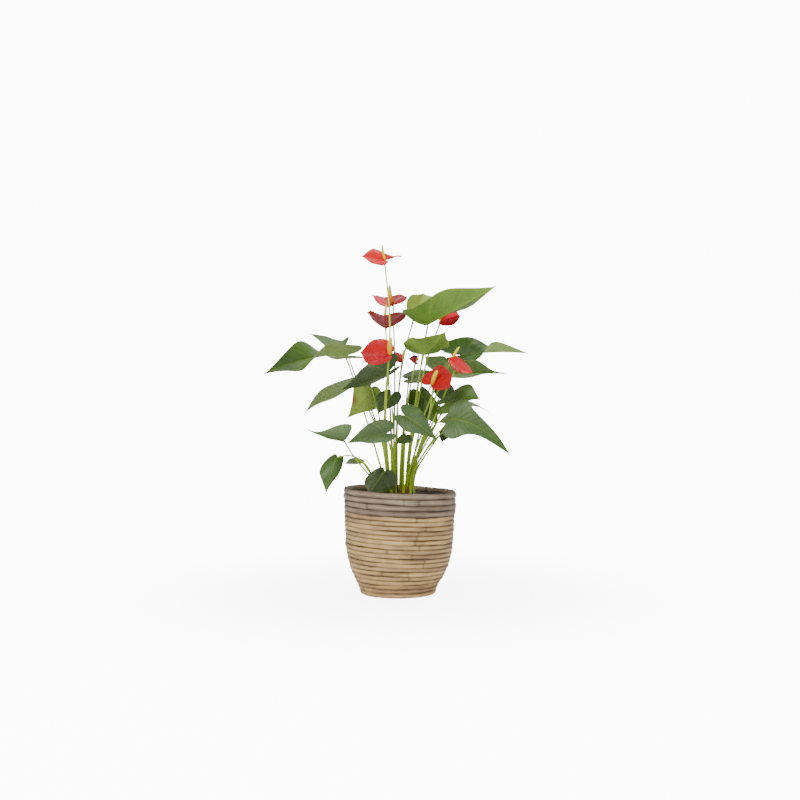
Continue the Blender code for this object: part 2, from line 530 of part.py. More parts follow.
for n, spec in FLOWERS.items():
    k = n[1:]
    path = upright_foot(smooth_path(paths[n], 8))
    add(tube(path, PEDUNCLE_FOOT_R, PEDUNCLE_TOP_R, "flower_%s_stem" % k), "flower_%s_stem" % k, PEDUNCLE)
    mesh = sheet(spec, "spathe", 8, 2, throat=THROAT)
    ob = thicken(mesh, "spathe", SPATHE_T)
    add(evaluated(ob), "flower_%s_spathe" % k, SPATHE)
    a = np.array(spec["attach"]) * MM
    t = np.array(spec["spadix"]) * MM
    d = unit(t - a)
    u = np.linspace(0, 1, 7)
    root = a + axis_at(spec, "spathe") * .0016 + d * .0004
    line = root + (t - root) * u[:, None]
    size = np.linalg.norm(t - a)
    fat = min(.0042, size * .13)
    cu = bpy.data.curves.new("spadix", "CURVE")
    cu.dimensions = "3D"
    cu.bevel_depth = 1.0
    cu.bevel_resolution = 1
    cu.use_fill_caps = True
    sp = cu.splines.new("POLY")
    sp.points.add(len(line) - 1)
    for i, (p, r) in enumerate(zip(line, (.28, .38, .82, 1.0, .94, .80, .30))):
        sp.points[i].co = (*p, 1)
        sp.points[i].radius = fat * r
    ob = bpy.data.objects.new("spadix_curve", cu)
    parts.objects.link(ob)
    add(evaluated(ob), "flower_%s_spadix" % k, SPADIX)
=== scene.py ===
"""Looks for the potted anthurium: veined leaves, spathes, bumpy spadices, tapered stems, a basket of
separate cane rods, the inner pot and its soil, on a plain pale floor in soft studio light."""
import math

import bpy
import numpy as np
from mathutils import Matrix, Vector


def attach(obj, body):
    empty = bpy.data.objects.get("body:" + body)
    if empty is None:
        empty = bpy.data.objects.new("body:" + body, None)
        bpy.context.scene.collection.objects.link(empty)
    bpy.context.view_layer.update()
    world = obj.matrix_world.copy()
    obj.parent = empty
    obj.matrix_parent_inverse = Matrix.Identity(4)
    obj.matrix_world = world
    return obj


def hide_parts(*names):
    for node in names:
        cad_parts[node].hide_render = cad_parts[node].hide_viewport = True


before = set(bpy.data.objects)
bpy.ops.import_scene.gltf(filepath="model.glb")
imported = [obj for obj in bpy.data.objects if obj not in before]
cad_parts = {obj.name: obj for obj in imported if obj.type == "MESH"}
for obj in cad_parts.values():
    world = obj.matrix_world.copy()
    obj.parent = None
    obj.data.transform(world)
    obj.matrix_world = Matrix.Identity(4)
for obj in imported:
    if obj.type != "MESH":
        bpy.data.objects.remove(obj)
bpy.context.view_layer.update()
rng = np.random.default_rng(11)
MM = 0.001
DETAIL = 1.0

# the same plan as the CAD model: basket, pot, soil, stems
BASKET_TOP = 0.200
ROD_PITCH = 0.0087
BAND_PITCH = 0.0110
BAND_RODS = 4
BASKET_WALL = 0.0070
TILT = 0.040
LEAN = 0.022
BASKET_PROFILE = [(0, 73), (12, 75.7), (20, 79.5), (28, 85), (36, 88.3), (43, 92), (51, 95), (59, 98), (66, 99.5), (74, 101), (82, 103.4),
                  (90, 104.6), (105, 105), (121, 105.7), (136, 106.7), (152, 107.2), (167, 108.6), (183, 109.6), (200, 110)]
POT_FOOT, POT_FOOT_R = 0.008, 0.060
POT_TOP, POT_TOP_R = 0.188, 0.0955
POT_WALL = 0.0020
SOIL_Z = 0.183
SOIL_DOME = 0.006
CROWN_XY = np.array([0.002, 0.0])
CROWN_R = 0.031
STEM_PITCH = 0.0088
STEM_CLEAR = 0.0056
STEM_FOOT = 0.0012
X_WIDE, X_OUTER = 0.10, 0.60

# name: attach and tip points, optional middle of the midrib, and the (x, z, side) places of the
# widest point of each half; side -1 hangs toward -Y, +1 toward +Y, 0 in the plane of the midrib.
LEAVES = {
    "L01": dict(attach=(-102, -8, 459), tip=(-252, -78, 420), mid=(-176, -38, 450), left=(-123, 481, -1), left2=(-197, 426, -1), right=(-118, 455, 1), right2=(-207, 471, 1), width=0.64, cup=0.03, lift_left=0.1),
    "L02": dict(attach=(-107, 82, 484), tip=(-184, 128, 510), left=(-128, 473, -1), right=(-123, 498, 1), width=0.72, cup=0.05, lift_left=0.5, lift_right=1.25, lobe_back=0.6),
    "L03": dict(attach=(-89, 92, 418), tip=(-185, 36, 345), mid=(-140, 60, 393), left=(-107, 414, -1), left2=(-157, 389, -1), right=(-99, 401, 1), right2=(-148, 369, 1), width=0.6),
    "L04": dict(attach=(-19, -4, 427), tip=(-108, -56, 392), mid=(-67, -28, 403), left=(-32, 416, -1), right=(-44, 456, 1), width=0.78),
    "L05": dict(attach=(-52, 2, 398), tip=(-101, 38, 336), mid=(-70, 14, 371), left=(-83, 412, 0), right=(-33, 363, 0), width=0.9, cup=-0.1),
    "L06": dict(attach=(-13, -26, 384), tip=(-37, -34, 347), left=(4, 371, 0), right=(-40, 381, 0), width=0.95),
    "L07": dict(attach=(-102, -50, 295), tip=(-178, -40, 319), mid=(-140, -48, 303), left=(-112, 296, -1), right=(-96, 328, 1), width=0.8, form="drip", cup=0, lift_right=0.5, lobe_back=0.3),
    "L08": dict(attach=(-22, -84, 310), tip=(-95, -132, 293), mid=(-59, -106, 303), left=(-29, 298, -1), right=(-37, 338, 1), width=0.8),
    "L09": dict(attach=(13, -60, 343), tip=(74, -95, 297), mid=(43, -82, 323), left=(36, 362, 1), right=(11, 321, -1), width=0.8),
    "L10": dict(attach=(15, -55, 307), tip=(-2, -70, 290), left=(25, 294, 0), right=(2, 305, 0), width=0.95),
    "L11": dict(attach=(-26, -45, 238), tip=(-56, -62, 196), left=(-7, 208, 0), right=(-61, 227, 0), width=1.0),
    "L12": dict(attach=(-114, -70, 265), tip=(-134, -88, 197), mid=(-125, -84, 237), left=(-106, 240, 0), right=(-146, 249, 0), width=0.72, cup=0.15),
    "L13": dict(attach=(-67, -24, 253), tip=(-102, -42, 252), left=(-82, 249, -1), right=(-86, 263, 1), width=0.6),
    "L14": dict(attach=(92, -22, 367), tip=(156, -50, 373), mid=(126, -40, 377), left=(93, 383, 1), left2=(143, 398, 1), right=(99, 352, -1), right2=(132, 371, -1), width=0.8),
    "L15": dict(attach=(104, -66, 337), tip=(210, -98, 269), mid=(155, -84, 319), left=(130, 371, 1), right=(106, 304, -1), width=0.62, form="hast"),
    "L16": dict(attach=(108, 70, 377), tip=(189, 50, 341), mid=(152, 60, 365), left=(125, 377, 1), right=(119, 365, -1), width=0.6, form="drip"),
    "L17": dict(attach=(102, 15, 320), tip=(84, 5, 289), left=(107, 307, 0), right=(82, 311, 0), width=0.8),
    "L18": dict(attach=(44, 40, 389), tip=(76, 15, 324), mid=(61, 25, 357), left=(77, 373, 0), right=(24, 357, 0), width=1.0),
    "L19": dict(attach=(22, 60, 415), tip=(85, 96, 428), left=(34, 436, 1), right=(39, 410, -1), width=0.85),
    "L20": dict(attach=(86, 126, 435), tip=(54, 84, 462), left=(61, 439, 0), right=(100, 459, 0), width=0.85),
    "L21": dict(attach=(124, 0, 460), tip=(250, -40, 461), mid=(193, -15, 465), left=(129, 498, 1), left2=(208, 468, 1), right=(141, 453, -1), right2=(201, 482, -1), width=0.62),
    "L22": dict(attach=(101, 45, 424), tip=(222, 40, 424), mid=(166, 45, 426), left=(131, 459, 1), right=(125, 420, -1), width=0.64, form="drip", lobe_back=0.5),
    "L23": dict(attach=(50, -2, 461), tip=(90, -80, 501), mid=(69, -35, 476), left=(94, 475, -1), right=(12, 487, -1), width=0.95, cup=0, wave=0.12, waves=2.2, phase=0.2),
    "L24": dict(attach=(58, -5, 518), tip=(188, -45, 590), mid=(123, -22, 553), left=(67, 531, 1), left2=(155, 563, 1), right=(42, 556, -1), right2=(127, 588, -1), width=0.7, cup=0, lift_left=0.75, lift_right=0.62, belly=0.05),
    "L25": dict(attach=(32, 42, 537), tip=(52, 86, 589), left=(69, 571, 1), right=(22, 575, 1), width=0.9, cup=-0.1),
    "L26": dict(attach=(80, 26, 409), tip=(112, 22, 369), left=(107, 401, 0), right=(76, 380, 0), width=0.9),
    "L27": dict(attach=(114, 24, 344), tip=(76, 6, 328), left=(108, 329, -1), right=(106, 353, 1), width=0.8),
}
# the same for each spathe, and the tip of its spadix
FLOWERS = {
    "F1": dict(attach=(-25, -10, 643), tip=(-70, -40, 646), left=(-38, 633, -1), right=(-38, 668, 1), width=1.05, form_right="tail", lift_right=0.25, spadix=(-30, -24, 671)),
    "F2": dict(attach=(-10, 74, 564), tip=(-29, 122, 584), left=(-52, 580, 0), right=(18, 581, 0), width=1.1, wave=0.10, cup=-0.05, lift_left=-0.7, spadix=(-17, 66, 604)),
    "F3": dict(attach=(-24, 35, 515), tip=(-27, -24, 536), left=(18, 540, 0), right=(-62, 541, 0), width=1.15, cup=-0.12, wave=0.07, spadix=(-23, 38, 562)),
    "F4": dict(attach=(-15, -78, 458), tip=(-70, -108, 461), left=(-45, 439, -1), right=(-31, 490, 1), width=1.12, spadix=(-13, -93, 489)),
    "F5": dict(attach=(10, 45, 452), tip=(-13, 25, 463), left=(-2, 450, -1), right=(4, 468, 1), width=1.15, spadix=(12, 36, 472)),
    "F6": dict(attach=(36, 34, 448), tip=(20, 20, 454), left=(35, 444, -1), right=(36, 462, 1), width=1.3, spadix=(41, 26, 461)),
    "F7": dict(attach=(65, -50, 402), tip=(102, -78, 421), left=(72, 438, 1), right=(89, 396, -1), width=1.4, lobe_left=2.5, spadix=(74, -70, 428)),
    "F8": dict(attach=(104, -55, 454), tip=(140, -82, 423), left=(122, 453, 1), right=(107, 431, -1), width=0.85, spadix=(116, -62, 473)),
    "F9": dict(attach=(84, 56, 530), tip=(124, 34, 537), left=(101, 554, 1), right=(103, 521, -1), width=0.95, spadix=(88, 36, 555)),
}
# points that a stem passes on its way up, where it does not rise in a plain arch
VIA = {
    "L01": [(-33, -12, 242), (-48, 6, 293), (-63, 30, 338), (-83, 36, 397), (-91, 22, 430)],
    "L02": [(-28, 14, 290), (-60, 36, 356), (-76, 42, 400), (-88, 47, 428), (-99, 62, 456)],
    "L07": [(-57, -28, 231), (-70, -34, 247), (-87, -44, 270), (-98, -49, 288)],
    "L12": [(-53, -36, 232), (-64, -48, 254), (-77, -57, 266), (-90, -64, 271), (-101, -68, 271)],
    "L13": [(-50, -16, 227), (-57, -22, 246)],
    "L14": [(23, -4, 230), (50, -14, 282), (73, -20, 325)],
    "L15": [(21, -14, 223), (44, -24, 262), (69, -36, 301), (91, -50, 328)],
    "L16": [(24, 28, 235), (59, 44, 302), (92, 64, 353)],
    "L17": [(27, 6, 229), (55, 8, 276), (82, 12, 307)],
    "L21": [(25, 4, 237), (62, 4, 314), (86, 12, 374), (108, 0, 425)],
    "L22": [(24, 20, 236), (59, 42, 314), (83, 48, 383)],
    "L23": [(27, -4, 296), (37, 2, 398), (45, 8, 441)],
    "L24": [(23, 2, 276), (39, 12, 396), (47, 24, 459), (52, 16, 490)],
    "L25": [(-4, 14, 295), (2, 22, 402), (12, 34, 468), (19, 38, 491)],
    "L27": [(31, 14, 229), (63, 16, 279), (94, 20, 320)],
    "F1": [(-17, -18, 238), (-24, -30, 296), (-25, -42, 344), (-22, -54, 398), (-17, -56, 450), (-13, -48, 500), (-15, -34, 552), (-22, -20, 604)],
    "F2": [(-8, 28, 294), (-6, 58, 433), (-9, 70, 523)],
    "F3": [(-12, 8, 295), (-20, 26, 432), (-23, 33, 491)],
    "F4": [(-21, -27, 239), (-26, -50, 316), (-23, -68, 392), (-17, -76, 439)],
    "F5": [(-2, 24, 295), (0, 32, 383), (5, 40, 422)],
    "F6": [(12, 12, 314), (22, 24, 389), (30, 30, 424)],
    "F7": [(33, -20, 267), (59, -38, 335), (64, -46, 381)],
    "F8": [(25, -16, 246), (50, -30, 316), (80, -38, 402), (97, -50, 437)],
    "F9": [(26, 18, 295), (51, 40, 428), (67, 52, 492)],
}
# half outlines with the attach point at 0,0 and the tip at 1,0
FORMS = {
    "leaf": [(-.07, .02), (-.17, .07), (-.235, .14), (-.25, .225), (-.19, .31), (-.06, .375), (.10, .395), (.26, .37), (.42, .305), (.58, .215), (.72, .135), (.84, .07), (.93, .026), (1, 0)],
    "hast": [(-.06, .03), (-.13, .10), (-.16, .20), (-.14, .30), (-.05, .375), (.06, .39), (.17, .33), (.28, .25), (.42, .185), (.58, .14), (.72, .105), (.84, .065), (.93, .026), (1, 0)],
    "drip": [(-.07, .02), (-.17, .07), (-.235, .14), (-.25, .225), (-.19, .31), (-.06, .375), (.10, .395), (.24, .36), (.37, .285), (.49, .19), (.60, .105), (.72, .05), (.85, .025), (1, 0)],
    "spathe": [(-.07, .03), (-.16, .10), (-.22, .20), (-.22, .32), (-.14, .42), (0, .47), (.16, .475), (.34, .43), (.52, .34), (.68, .235), (.81, .13), (.91, .055), (.965, .018), (1, 0)],
    "tail": [(-.12, .012), (-.30, .02), (-.48, .025), (-.62, .03), (-.70, .03), (-.76, .06), (-.70, .10), (-.60, .085), (-.40, .09), (-.16, .24), (.05, .40), (.20, .475), (.36, .43), (.52, .34), (.68, .235), (.81, .13), (.91, .055), (.965, .018), (1, 0)],
}


def smooth_path(points, count):
    """Catmull-Rom curve through the points, with even steps along its length."""
    pts = np.asarray(points, float)
    ext = np.vstack([2 * pts[0] - pts[1], pts, 2 * pts[-1] - pts[-2]])
    dense = []
    for i in range(len(pts) - 1):
        t = np.linspace(0, 1, 24, endpoint=(i == len(pts) - 2))[:, None]
        a, b, c, d = ext[i:i + 4]
        dense.append(0.5 * (2 * b + (c - a) * t + (2 * a - 5 * b + 4 * c - d) * t ** 2 + (3 * b - a - 3 * c + d) * t ** 3))
    dense = np.vstack(dense)
    s = np.r_[0, np.cumsum(np.linalg.norm(np.diff(dense, axis=0), axis=1))]
    q = np.linspace(0, s[-1], count)
    return np.stack([np.interp(q, s, dense[:, j]) for j in range(dense.shape[1])], -1)


def arch(p0, p1, p2, p3, count):
    t = np.linspace(0, 1, count)[:, None]
    return (1 - t) ** 3 * p0 + 3 * (1 - t) ** 2 * t * p1 + 3 * (1 - t) * t ** 2 * p2 + t ** 3 * p3


def unit(v):
    return v / (np.linalg.norm(v, axis=-1, keepdims=True) + 1e-12)


def blade(spec, x, y, ymax_l, ymax_r, form):
    """Places the flat points (x, y) of a heart-shaped blade, attach point 0,0 and tip 1,0, in space."""
    a = np.array(spec["attach"], float) * MM
    t = np.array(spec["tip"], float) * MM
    m = np.array(spec["mid"], float) * MM if "mid" in spec else (a + t) / 2
    c = 2 * m - (a + t) / 2
    length = np.linalg.norm(t - a)
    half = spec["width"] * length / 2

    def midrib(u):
        u = np.asarray(u, float)[..., None]
        return np.where(u >= 0, (1 - u) ** 2 * a + 2 * (1 - u) * u * c + u ** 2 * t, a + 2 * u * (c - a))

    def half_vector(place, u):
        share = half_width_at(form, u) / half_width_at(form, None)
        base = midrib(u)
        v = np.array([place[0] * MM - base[0], 0, place[1] * MM - base[2]])
        v[1] = place[2] * math.sqrt(max((half * share) ** 2 - v @ v, 0))
        return v / share

    n_left = half_vector(spec["left"], X_WIDE)
    n_right = half_vector(spec["right"], X_WIDE)
    o_left = half_vector(spec["left2"], X_OUTER) if "left2" in spec else n_left
    o_right = half_vector(spec["right2"], X_OUTER) if "right2" in spec else n_right
    left = (y >= 0)
    side = left[..., None]
    q = np.clip((x - X_WIDE) / (X_OUTER - X_WIDE), 0, 1)
    q = (q * q * (3 - 2 * q))[..., None]
    v1, v2 = np.where(side, n_left, n_right), np.where(side, o_left, o_right)
    size = np.linalg.norm(v1, axis=-1, keepdims=True) * (1 - q) + np.linalg.norm(v2, axis=-1, keepdims=True) * q
    v = unit(v1 * (1 - q) + v2 * q) * size
    along = unit(midrib(x + .01) - midrib(x - .01))
    normal = unit(np.cross(along, v)) * np.where(side, 1, -1)
    r = np.abs(y) / np.where(left, ymax_l, ymax_r)
    wave = spec.get("wave", .03) * np.sin(2 * math.pi * (spec.get("waves", 1.7) * x + spec.get("phase", 0) + np.where(left, 0, .37)))
    bulge = (wave - spec.get("cup", .12)) * r ** 2 + spec.get("belly", .10) * r * (1 - r)
    back = np.clip(-x / .25, 0, 2) ** 1.4
    lift = np.where(left, spec.get("lift_left", 0), spec.get("lift_right", 0)) * back * length * .25
    p = midrib(x) + v * r[..., None] + normal * (half * bulge)[..., None]
    p[..., 2] += lift
    return p, normal, length


def half_width_at(form, u):
    pts = np.array(FORMS[form], float)
    if u is None:
        return pts[:, 1].max()
    k = int(np.argmin(pts[:, 0]))
    return float(np.interp(u, pts[k:, 0], pts[k:, 1]))


def outline(spec, form, count):
    """The whole outline in flat coordinates: left lobe, left margin, tip, right margin, right lobe."""
    form_r = spec.get("form_right", form)
    left = smooth_path(FORMS[form], count)
    right = smooth_path(FORMS[form_r], count)
    back = spec.get("lobe_back", 1.0)
    left[:, 0] = np.where(left[:, 0] < 0, left[:, 0] * spec.get("lobe_left", back), left[:, 0])
    right[:, 0] = np.where(right[:, 0] < 0, right[:, 0] * spec.get("lobe_right", back), right[:, 0])
    left[:, 1] = np.maximum(left[:, 1], 0)
    right[:, 1] = np.maximum(right[:, 1], 0)
    edge = np.vstack([left[:-1], right[::-1] * (1, -1)])
    return edge, half_width_at(form, None), half_width_at(form_r, None)


def axis_at(spec, form):
    """Where the upper side faces, right at the attach point."""
    flat = np.array([[.05, .05], [.05, -.05]])
    _, normal, _ = blade(spec, flat[:, 0], flat[:, 1], half_width_at(form, None), half_width_at(form, None), form)
    return unit(normal.sum(0))


def stem_bases(ends):
    """Where each stem leaves the soil: leaning its own way, then pushed apart to at least STEM_PITCH."""
    names = list(ends)
    start = []
    for n in names:
        lead = np.array(VIA[n][0] if n in VIA else ends[n], float) * MM
        flat = lead[:2] - CROWN_XY
        lean = np.hypot(*flat) / (lead[2] - SOIL_Z)
        reach = CROWN_R * min(1.0, .95 * math.sqrt(min(1.0, .25 + .72 * lean)))
        start.append(reach * flat / (np.hypot(*flat) + 1e-9))
    start = np.array(start)
    x = start.copy()
    for _ in range(400):
        d = x[:, None] - x[None]
        r = np.linalg.norm(d, axis=-1) + np.eye(len(x))
        x = x + (d / r[..., None] * np.where(r < STEM_PITCH, STEM_PITCH - r, 0)[..., None]).sum(1) * .25 + (start - x) * .01
        over = np.linalg.norm(x, axis=1)
        x = np.where((over > CROWN_R)[:, None], x * (CROWN_R / over)[:, None], x)
    return dict(zip(names, x + CROWN_XY))


def stem_paths(ends):
    """The middle line of every stem from the soil to its blade or flower, eased clear of each other."""
    bases = stem_bases(ends)
    names = list(ends)
    lines = []
    for n in names:
        top = np.array(ends[n], float) * MM
        foot = np.array([*bases[n], soil_height(*bases[n]) + STEM_FOOT])
        under = []
        if n in FLOWERS:
            axis = axis_at(FLOWERS[n], "spathe")
            under = [top - axis * .010 - (0, 0, .008)]
            top = top - axis * .0022
        if n in VIA:
            pts = [foot, foot + (0, 0, .012)] + [np.array(p, float) * MM for p in VIA[n]] + under + [top]
            lines.append(smooth_path(pts, 24))
        else:
            d = top - foot
            assert not under
            lines.append(smooth_path(arch(foot, foot + (d[0] * .1, d[1] * .1, d[2] * .5), top - (d[0] * .38, d[1] * .38, d[2] * .16), top, 24), 24))
    x = np.array(lines)
    first = x.copy()
    count, steps = x.shape[:2]
    hold = np.minimum(1, (1 - np.arange(steps) / (steps - 1)) * 5)[None, :, None]
    owner = np.repeat(np.arange(count), steps)
    for _ in range(45):
        flat = x.reshape(-1, 3)
        d = flat[:, None] - flat[None]
        r = np.sqrt((d * d).sum(-1))
        near = (r < STEM_CLEAR) & (owner[:, None] != owner[None])
        d[..., 2] *= .2
        push = (d * (np.where(near, STEM_CLEAR - r, 0) / (r + 1e-9))[..., None]).sum(1).reshape(count, steps, 3) * .3
        for _ in range(4):
            push[:, 1:-1] = (push[:, :-2] + 2 * push[:, 1:-1] + push[:, 2:]) / 4
        x = x + push * hold * 2 + (first - x) * .01 * hold
        x[:, 1:-1] += .15 * ((x[:, :-2] + x[:, 2:]) / 2 - x[:, 1:-1])
        x[:, 0, 2] = [soil_height(p[0], p[1]) + STEM_FOOT for p in x[:, 0]]
    return {n: x[i] for i, n in enumerate(names)}


def soil_height(x, y):
    return SOIL_Z + SOIL_DOME * math.exp(-((x - CROWN_XY[0]) ** 2 + (y - CROWN_XY[1]) ** 2) / .045 ** 2)


# ---------------------------------------------------------------- colours and materials

def lin(c, rich=1.5, gain=.80):
    """A seen colour as a material colour: linear, a little deeper and richer than it is seen."""
    c = np.asarray(c, float) / 255
    c = np.where(c <= .04045, c / 12.92, ((c + .055) / 1.055) ** 2.4)
    y = float(c @ (.2126, .7152, .0722))
    return tuple(np.clip((y + (c - y) * rich) * gain, .002, 1))


class Nodes:
    """A short way to write a node material."""

    def __init__(self, name):
        self.mat = bpy.data.materials.new(name)
        self.mat.use_nodes = True
        self.tree = self.mat.node_tree
        self.bsdf = self.tree.nodes["Principled BSDF"]

    def n(self, kind, **props):
        inputs = props.pop("inputs", {})
        node = self.tree.nodes.new(kind)
        for k, v in props.items():
            setattr(node, k, v)
        for k, v in inputs.items():
            if isinstance(v, bpy.types.NodeSocket):
                self.tree.links.new(v, node.inputs[k])
            else:
                node.inputs[k].default_value = v
        return node

    def attr(self, name, out="Fac"):
        return self.n("ShaderNodeAttribute", attribute_name=name).outputs[out]

    def math(self, op, a, b=0.0, c=None, clamp=False):
        ins = {0: a, 1: b}
        if c is not None:
            ins[2] = c
        return self.n("ShaderNodeMath", operation=op, use_clamp=clamp, inputs=ins).outputs[0]

    def ramp(self, fac, lo, hi, a=0.0, b=1.0):
        """A smooth step of fac from lo to hi, from a to b."""
        return self.n("ShaderNodeMapRange", interpolation_type="SMOOTHSTEP", inputs={"Value": fac, "From Min": lo, "From Max": hi, "To Min": a, "To Max": b}).outputs[0]

    def noise(self, scale, detail=3.0, rough=.5, vec=None, stretch=None):
        co = vec if vec is not None else self.n("ShaderNodeTexCoord").outputs["Object"]
        if stretch is not None:
            co = self.n("ShaderNodeMapping", inputs={"Vector": co, "Scale": stretch}).outputs[0]
        return self.n("ShaderNodeTexNoise", inputs={"Vector": co, "Scale": scale, "Detail": detail, "Roughness": rough}).outputs["Fac"]

    def mix(self, fac, a, b, blend="MIX"):
        node = self.n("ShaderNodeMix", data_type="RGBA", blend_type=blend)
        for k, v in ((0, fac), (6, a), (7, b)):
            if isinstance(v, bpy.types.NodeSocket):
                self.tree.links.new(v, node.inputs[k])
            else:
                node.inputs[k].default_value = (*v, 1) if k and len(v) == 3 else v
        return node.outputs[2]

    def scaled(self, color, factor):
        """The colour times a number."""
        node = self.n("ShaderNodeVectorMath", operation="SCALE", inputs={0: color})
        if isinstance(factor, bpy.types.NodeSocket):
            self.tree.links.new(factor, node.inputs["Scale"])
        else:
            node.inputs["Scale"].default_value = factor
        return node.outputs[0]

    def bump(self, height, strength, distance):
        return self.n("ShaderNodeBump", inputs={"Height": height, "Strength": strength, "Distance": distance}).outputs[0]

    def out(self, color=None, rough=None, normal=None, **values):
        for k, v in (("Base Color", color), ("Roughness", rough), ("Normal", normal)):
            if v is None:
                continue
            if isinstance(v, bpy.types.NodeSocket):
                self.tree.links.new(v, self.bsdf.inputs[k])
            else:
                self.bsdf.inputs[k].default_value = (*v, 1) if k == "Base Color" else v
        for k, v in values.items():
            self.bsdf.inputs[k].default_value = v
        return self.mat


def vein_masks(k, fine=.80):
    """The side veins, the midrib and the fine net between them, from the blade's own coordinates."""
    phase = k.attr("phase")
    tri = k.math("MULTIPLY", k.math("ABSOLUTE", k.math("SUBTRACT", k.math("FRACT", phase), .5)), 2.0)
    side = k.ramp(tri, fine, .985)
    mid = k.ramp(k.attr("rib"), .012, .040, 1.0, 0.0)
    return side, mid, tri


def blade_material(name, which, rough, vein_up, coat, sheen_spots=.12):
    k = Nodes(name)
    side, mid, tri = vein_masks(k)
    base = k.attr(which, "Color")
    wide = k.noise(26, 3)
    fine = k.noise(420, 2)
    base = k.scaled(base, k.ramp(wide, .3, .7, 1 - sheen_spots, 1 + sheen_spots))
    base = k.scaled(base, k.ramp(fine, .3, .7, .965, 1.035))
    pale = k.mix(.45, base, lin((178, 200, 120)))
    color = k.mix(k.math("MULTIPLY", side, vein_up), base, pale)
    color = k.mix(k.math("MULTIPLY", mid, min(1.0, vein_up * 1.6)), color, pale)
    # a thin pale edge
    color = k.mix(k.ramp(k.attr("reach"), .965, 1.0, 0.0, .45), color, pale)
    net = k.n("ShaderNodeTexVoronoi", feature="DISTANCE_TO_EDGE", inputs={"Scale": 330.0, "Vector": k.n("ShaderNodeTexCoord").outputs["Object"]}).outputs["Distance"]
    height = k.math("ADD", k.math("MULTIPLY", side, -.9 if which == "up" else .9), k.math("MULTIPLY", k.ramp(net, 0, .12), .18))
    height = k.math("ADD", height, k.math("MULTIPLY", mid, -1.2 if which == "up" else 1.5))
    height = k.math("ADD", height, k.math("MULTIPLY", k.noise(60, 2), .5))
    rough_s = k.ramp(k.noise(90, 3), .3, .7, rough - .05, rough + .08)
    mat = k.out(color, rough_s, k.bump(height, .55, .0007))
    k.bsdf.inputs["Specular IOR Level"].default_value = .32
    k.bsdf.inputs["Coat Weight"].default_value = coat
    k.bsdf.inputs["Coat Roughness"].default_value = .28
    k.bsdf.inputs["Subsurface Weight"].default_value = .12
    k.bsdf.inputs["Subsurface Radius"].default_value = (.6, 1.0, .3)
    k.bsdf.inputs["Subsurface Scale"].default_value = .0012
    return mat


def spathe_material(name, which, coat, spec):
    k = Nodes(name)
    side, mid, tri = vein_masks(k, .55)
    base = k.attr(which, "Color")
    base = k.scaled(base, k.ramp(k.noise(40, 3), .3, .7, .88, 1.12))
    dark = k.scaled(base, .78)
    color = k.mix(k.math("MULTIPLY", side, .45), base, dark)
    color = k.mix(k.math("MULTIPLY", mid, .5), color, dark)
    color = k.mix(k.ramp(k.attr("reach"), .96, 1.0, 0.0, .25), color, lin((214, 70, 84)))
    height = k.math("ADD", k.math("MULTIPLY", side, -1.0), k.math("MULTIPLY", k.noise(150, 3), .45))
    height = k.math("ADD", height, k.math("MULTIPLY", mid, -1.0))
    mat = k.out(color, k.ramp(k.noise(110, 2), .3, .7, .24, .38), k.bump(height, .6, .0008))
    k.bsdf.inputs["Specular IOR Level"].default_value = spec
    k.bsdf.inputs["Coat Weight"].default_value = coat
    k.bsdf.inputs["Coat Roughness"].default_value = .2
    k.bsdf.inputs["Subsurface Weight"].default_value = .15
    k.bsdf.inputs["Subsurface Radius"].default_value = (1.0, .2, .15)
    k.bsdf.inputs["Subsurface Scale"].default_value = .0015
    return mat


def stem_material(name):
    """Smooth green stem with a pale bloom, streaks along it and small brown specks low down."""
    k = Nodes(name)
    base = k.attr("tint", "Color")
    streak = k.noise(1.0, 3, vec=k.n("ShaderNodeTexCoord").outputs["Object"], stretch=(900, 900, 30))
    base = k.scaled(base, k.ramp(streak, .3, .7, .86, 1.12))
    speck = k.ramp(k.noise(520, 2), .66, .74)
    low = k.ramp(k.attr("along"), .45, .0)
    color = k.mix(k.math("MULTIPLY", k.math("MULTIPLY", speck, low), .6), base, lin((120, 84, 50)))
    return k.out(color, k.ramp(streak, .3, .7, .36, .5), k.bump(streak, .25, .0003))


def spadix_material(name):
    k = Nodes(name)
    base = k.attr("tint", "Color")
    bump = k.attr("bead")
    # darker in the hollows between the beads: painted shade
    color = k.mix(k.ramp(bump, .15, .75, .55, 0.0), base, k.scaled(base, .55))
    color = k.scaled(color, k.ramp(k.noise(700, 2), .3, .7, .92, 1.08))
    return k.out(color, .48, k.bump(k.noise(900, 2), .2, .0002))


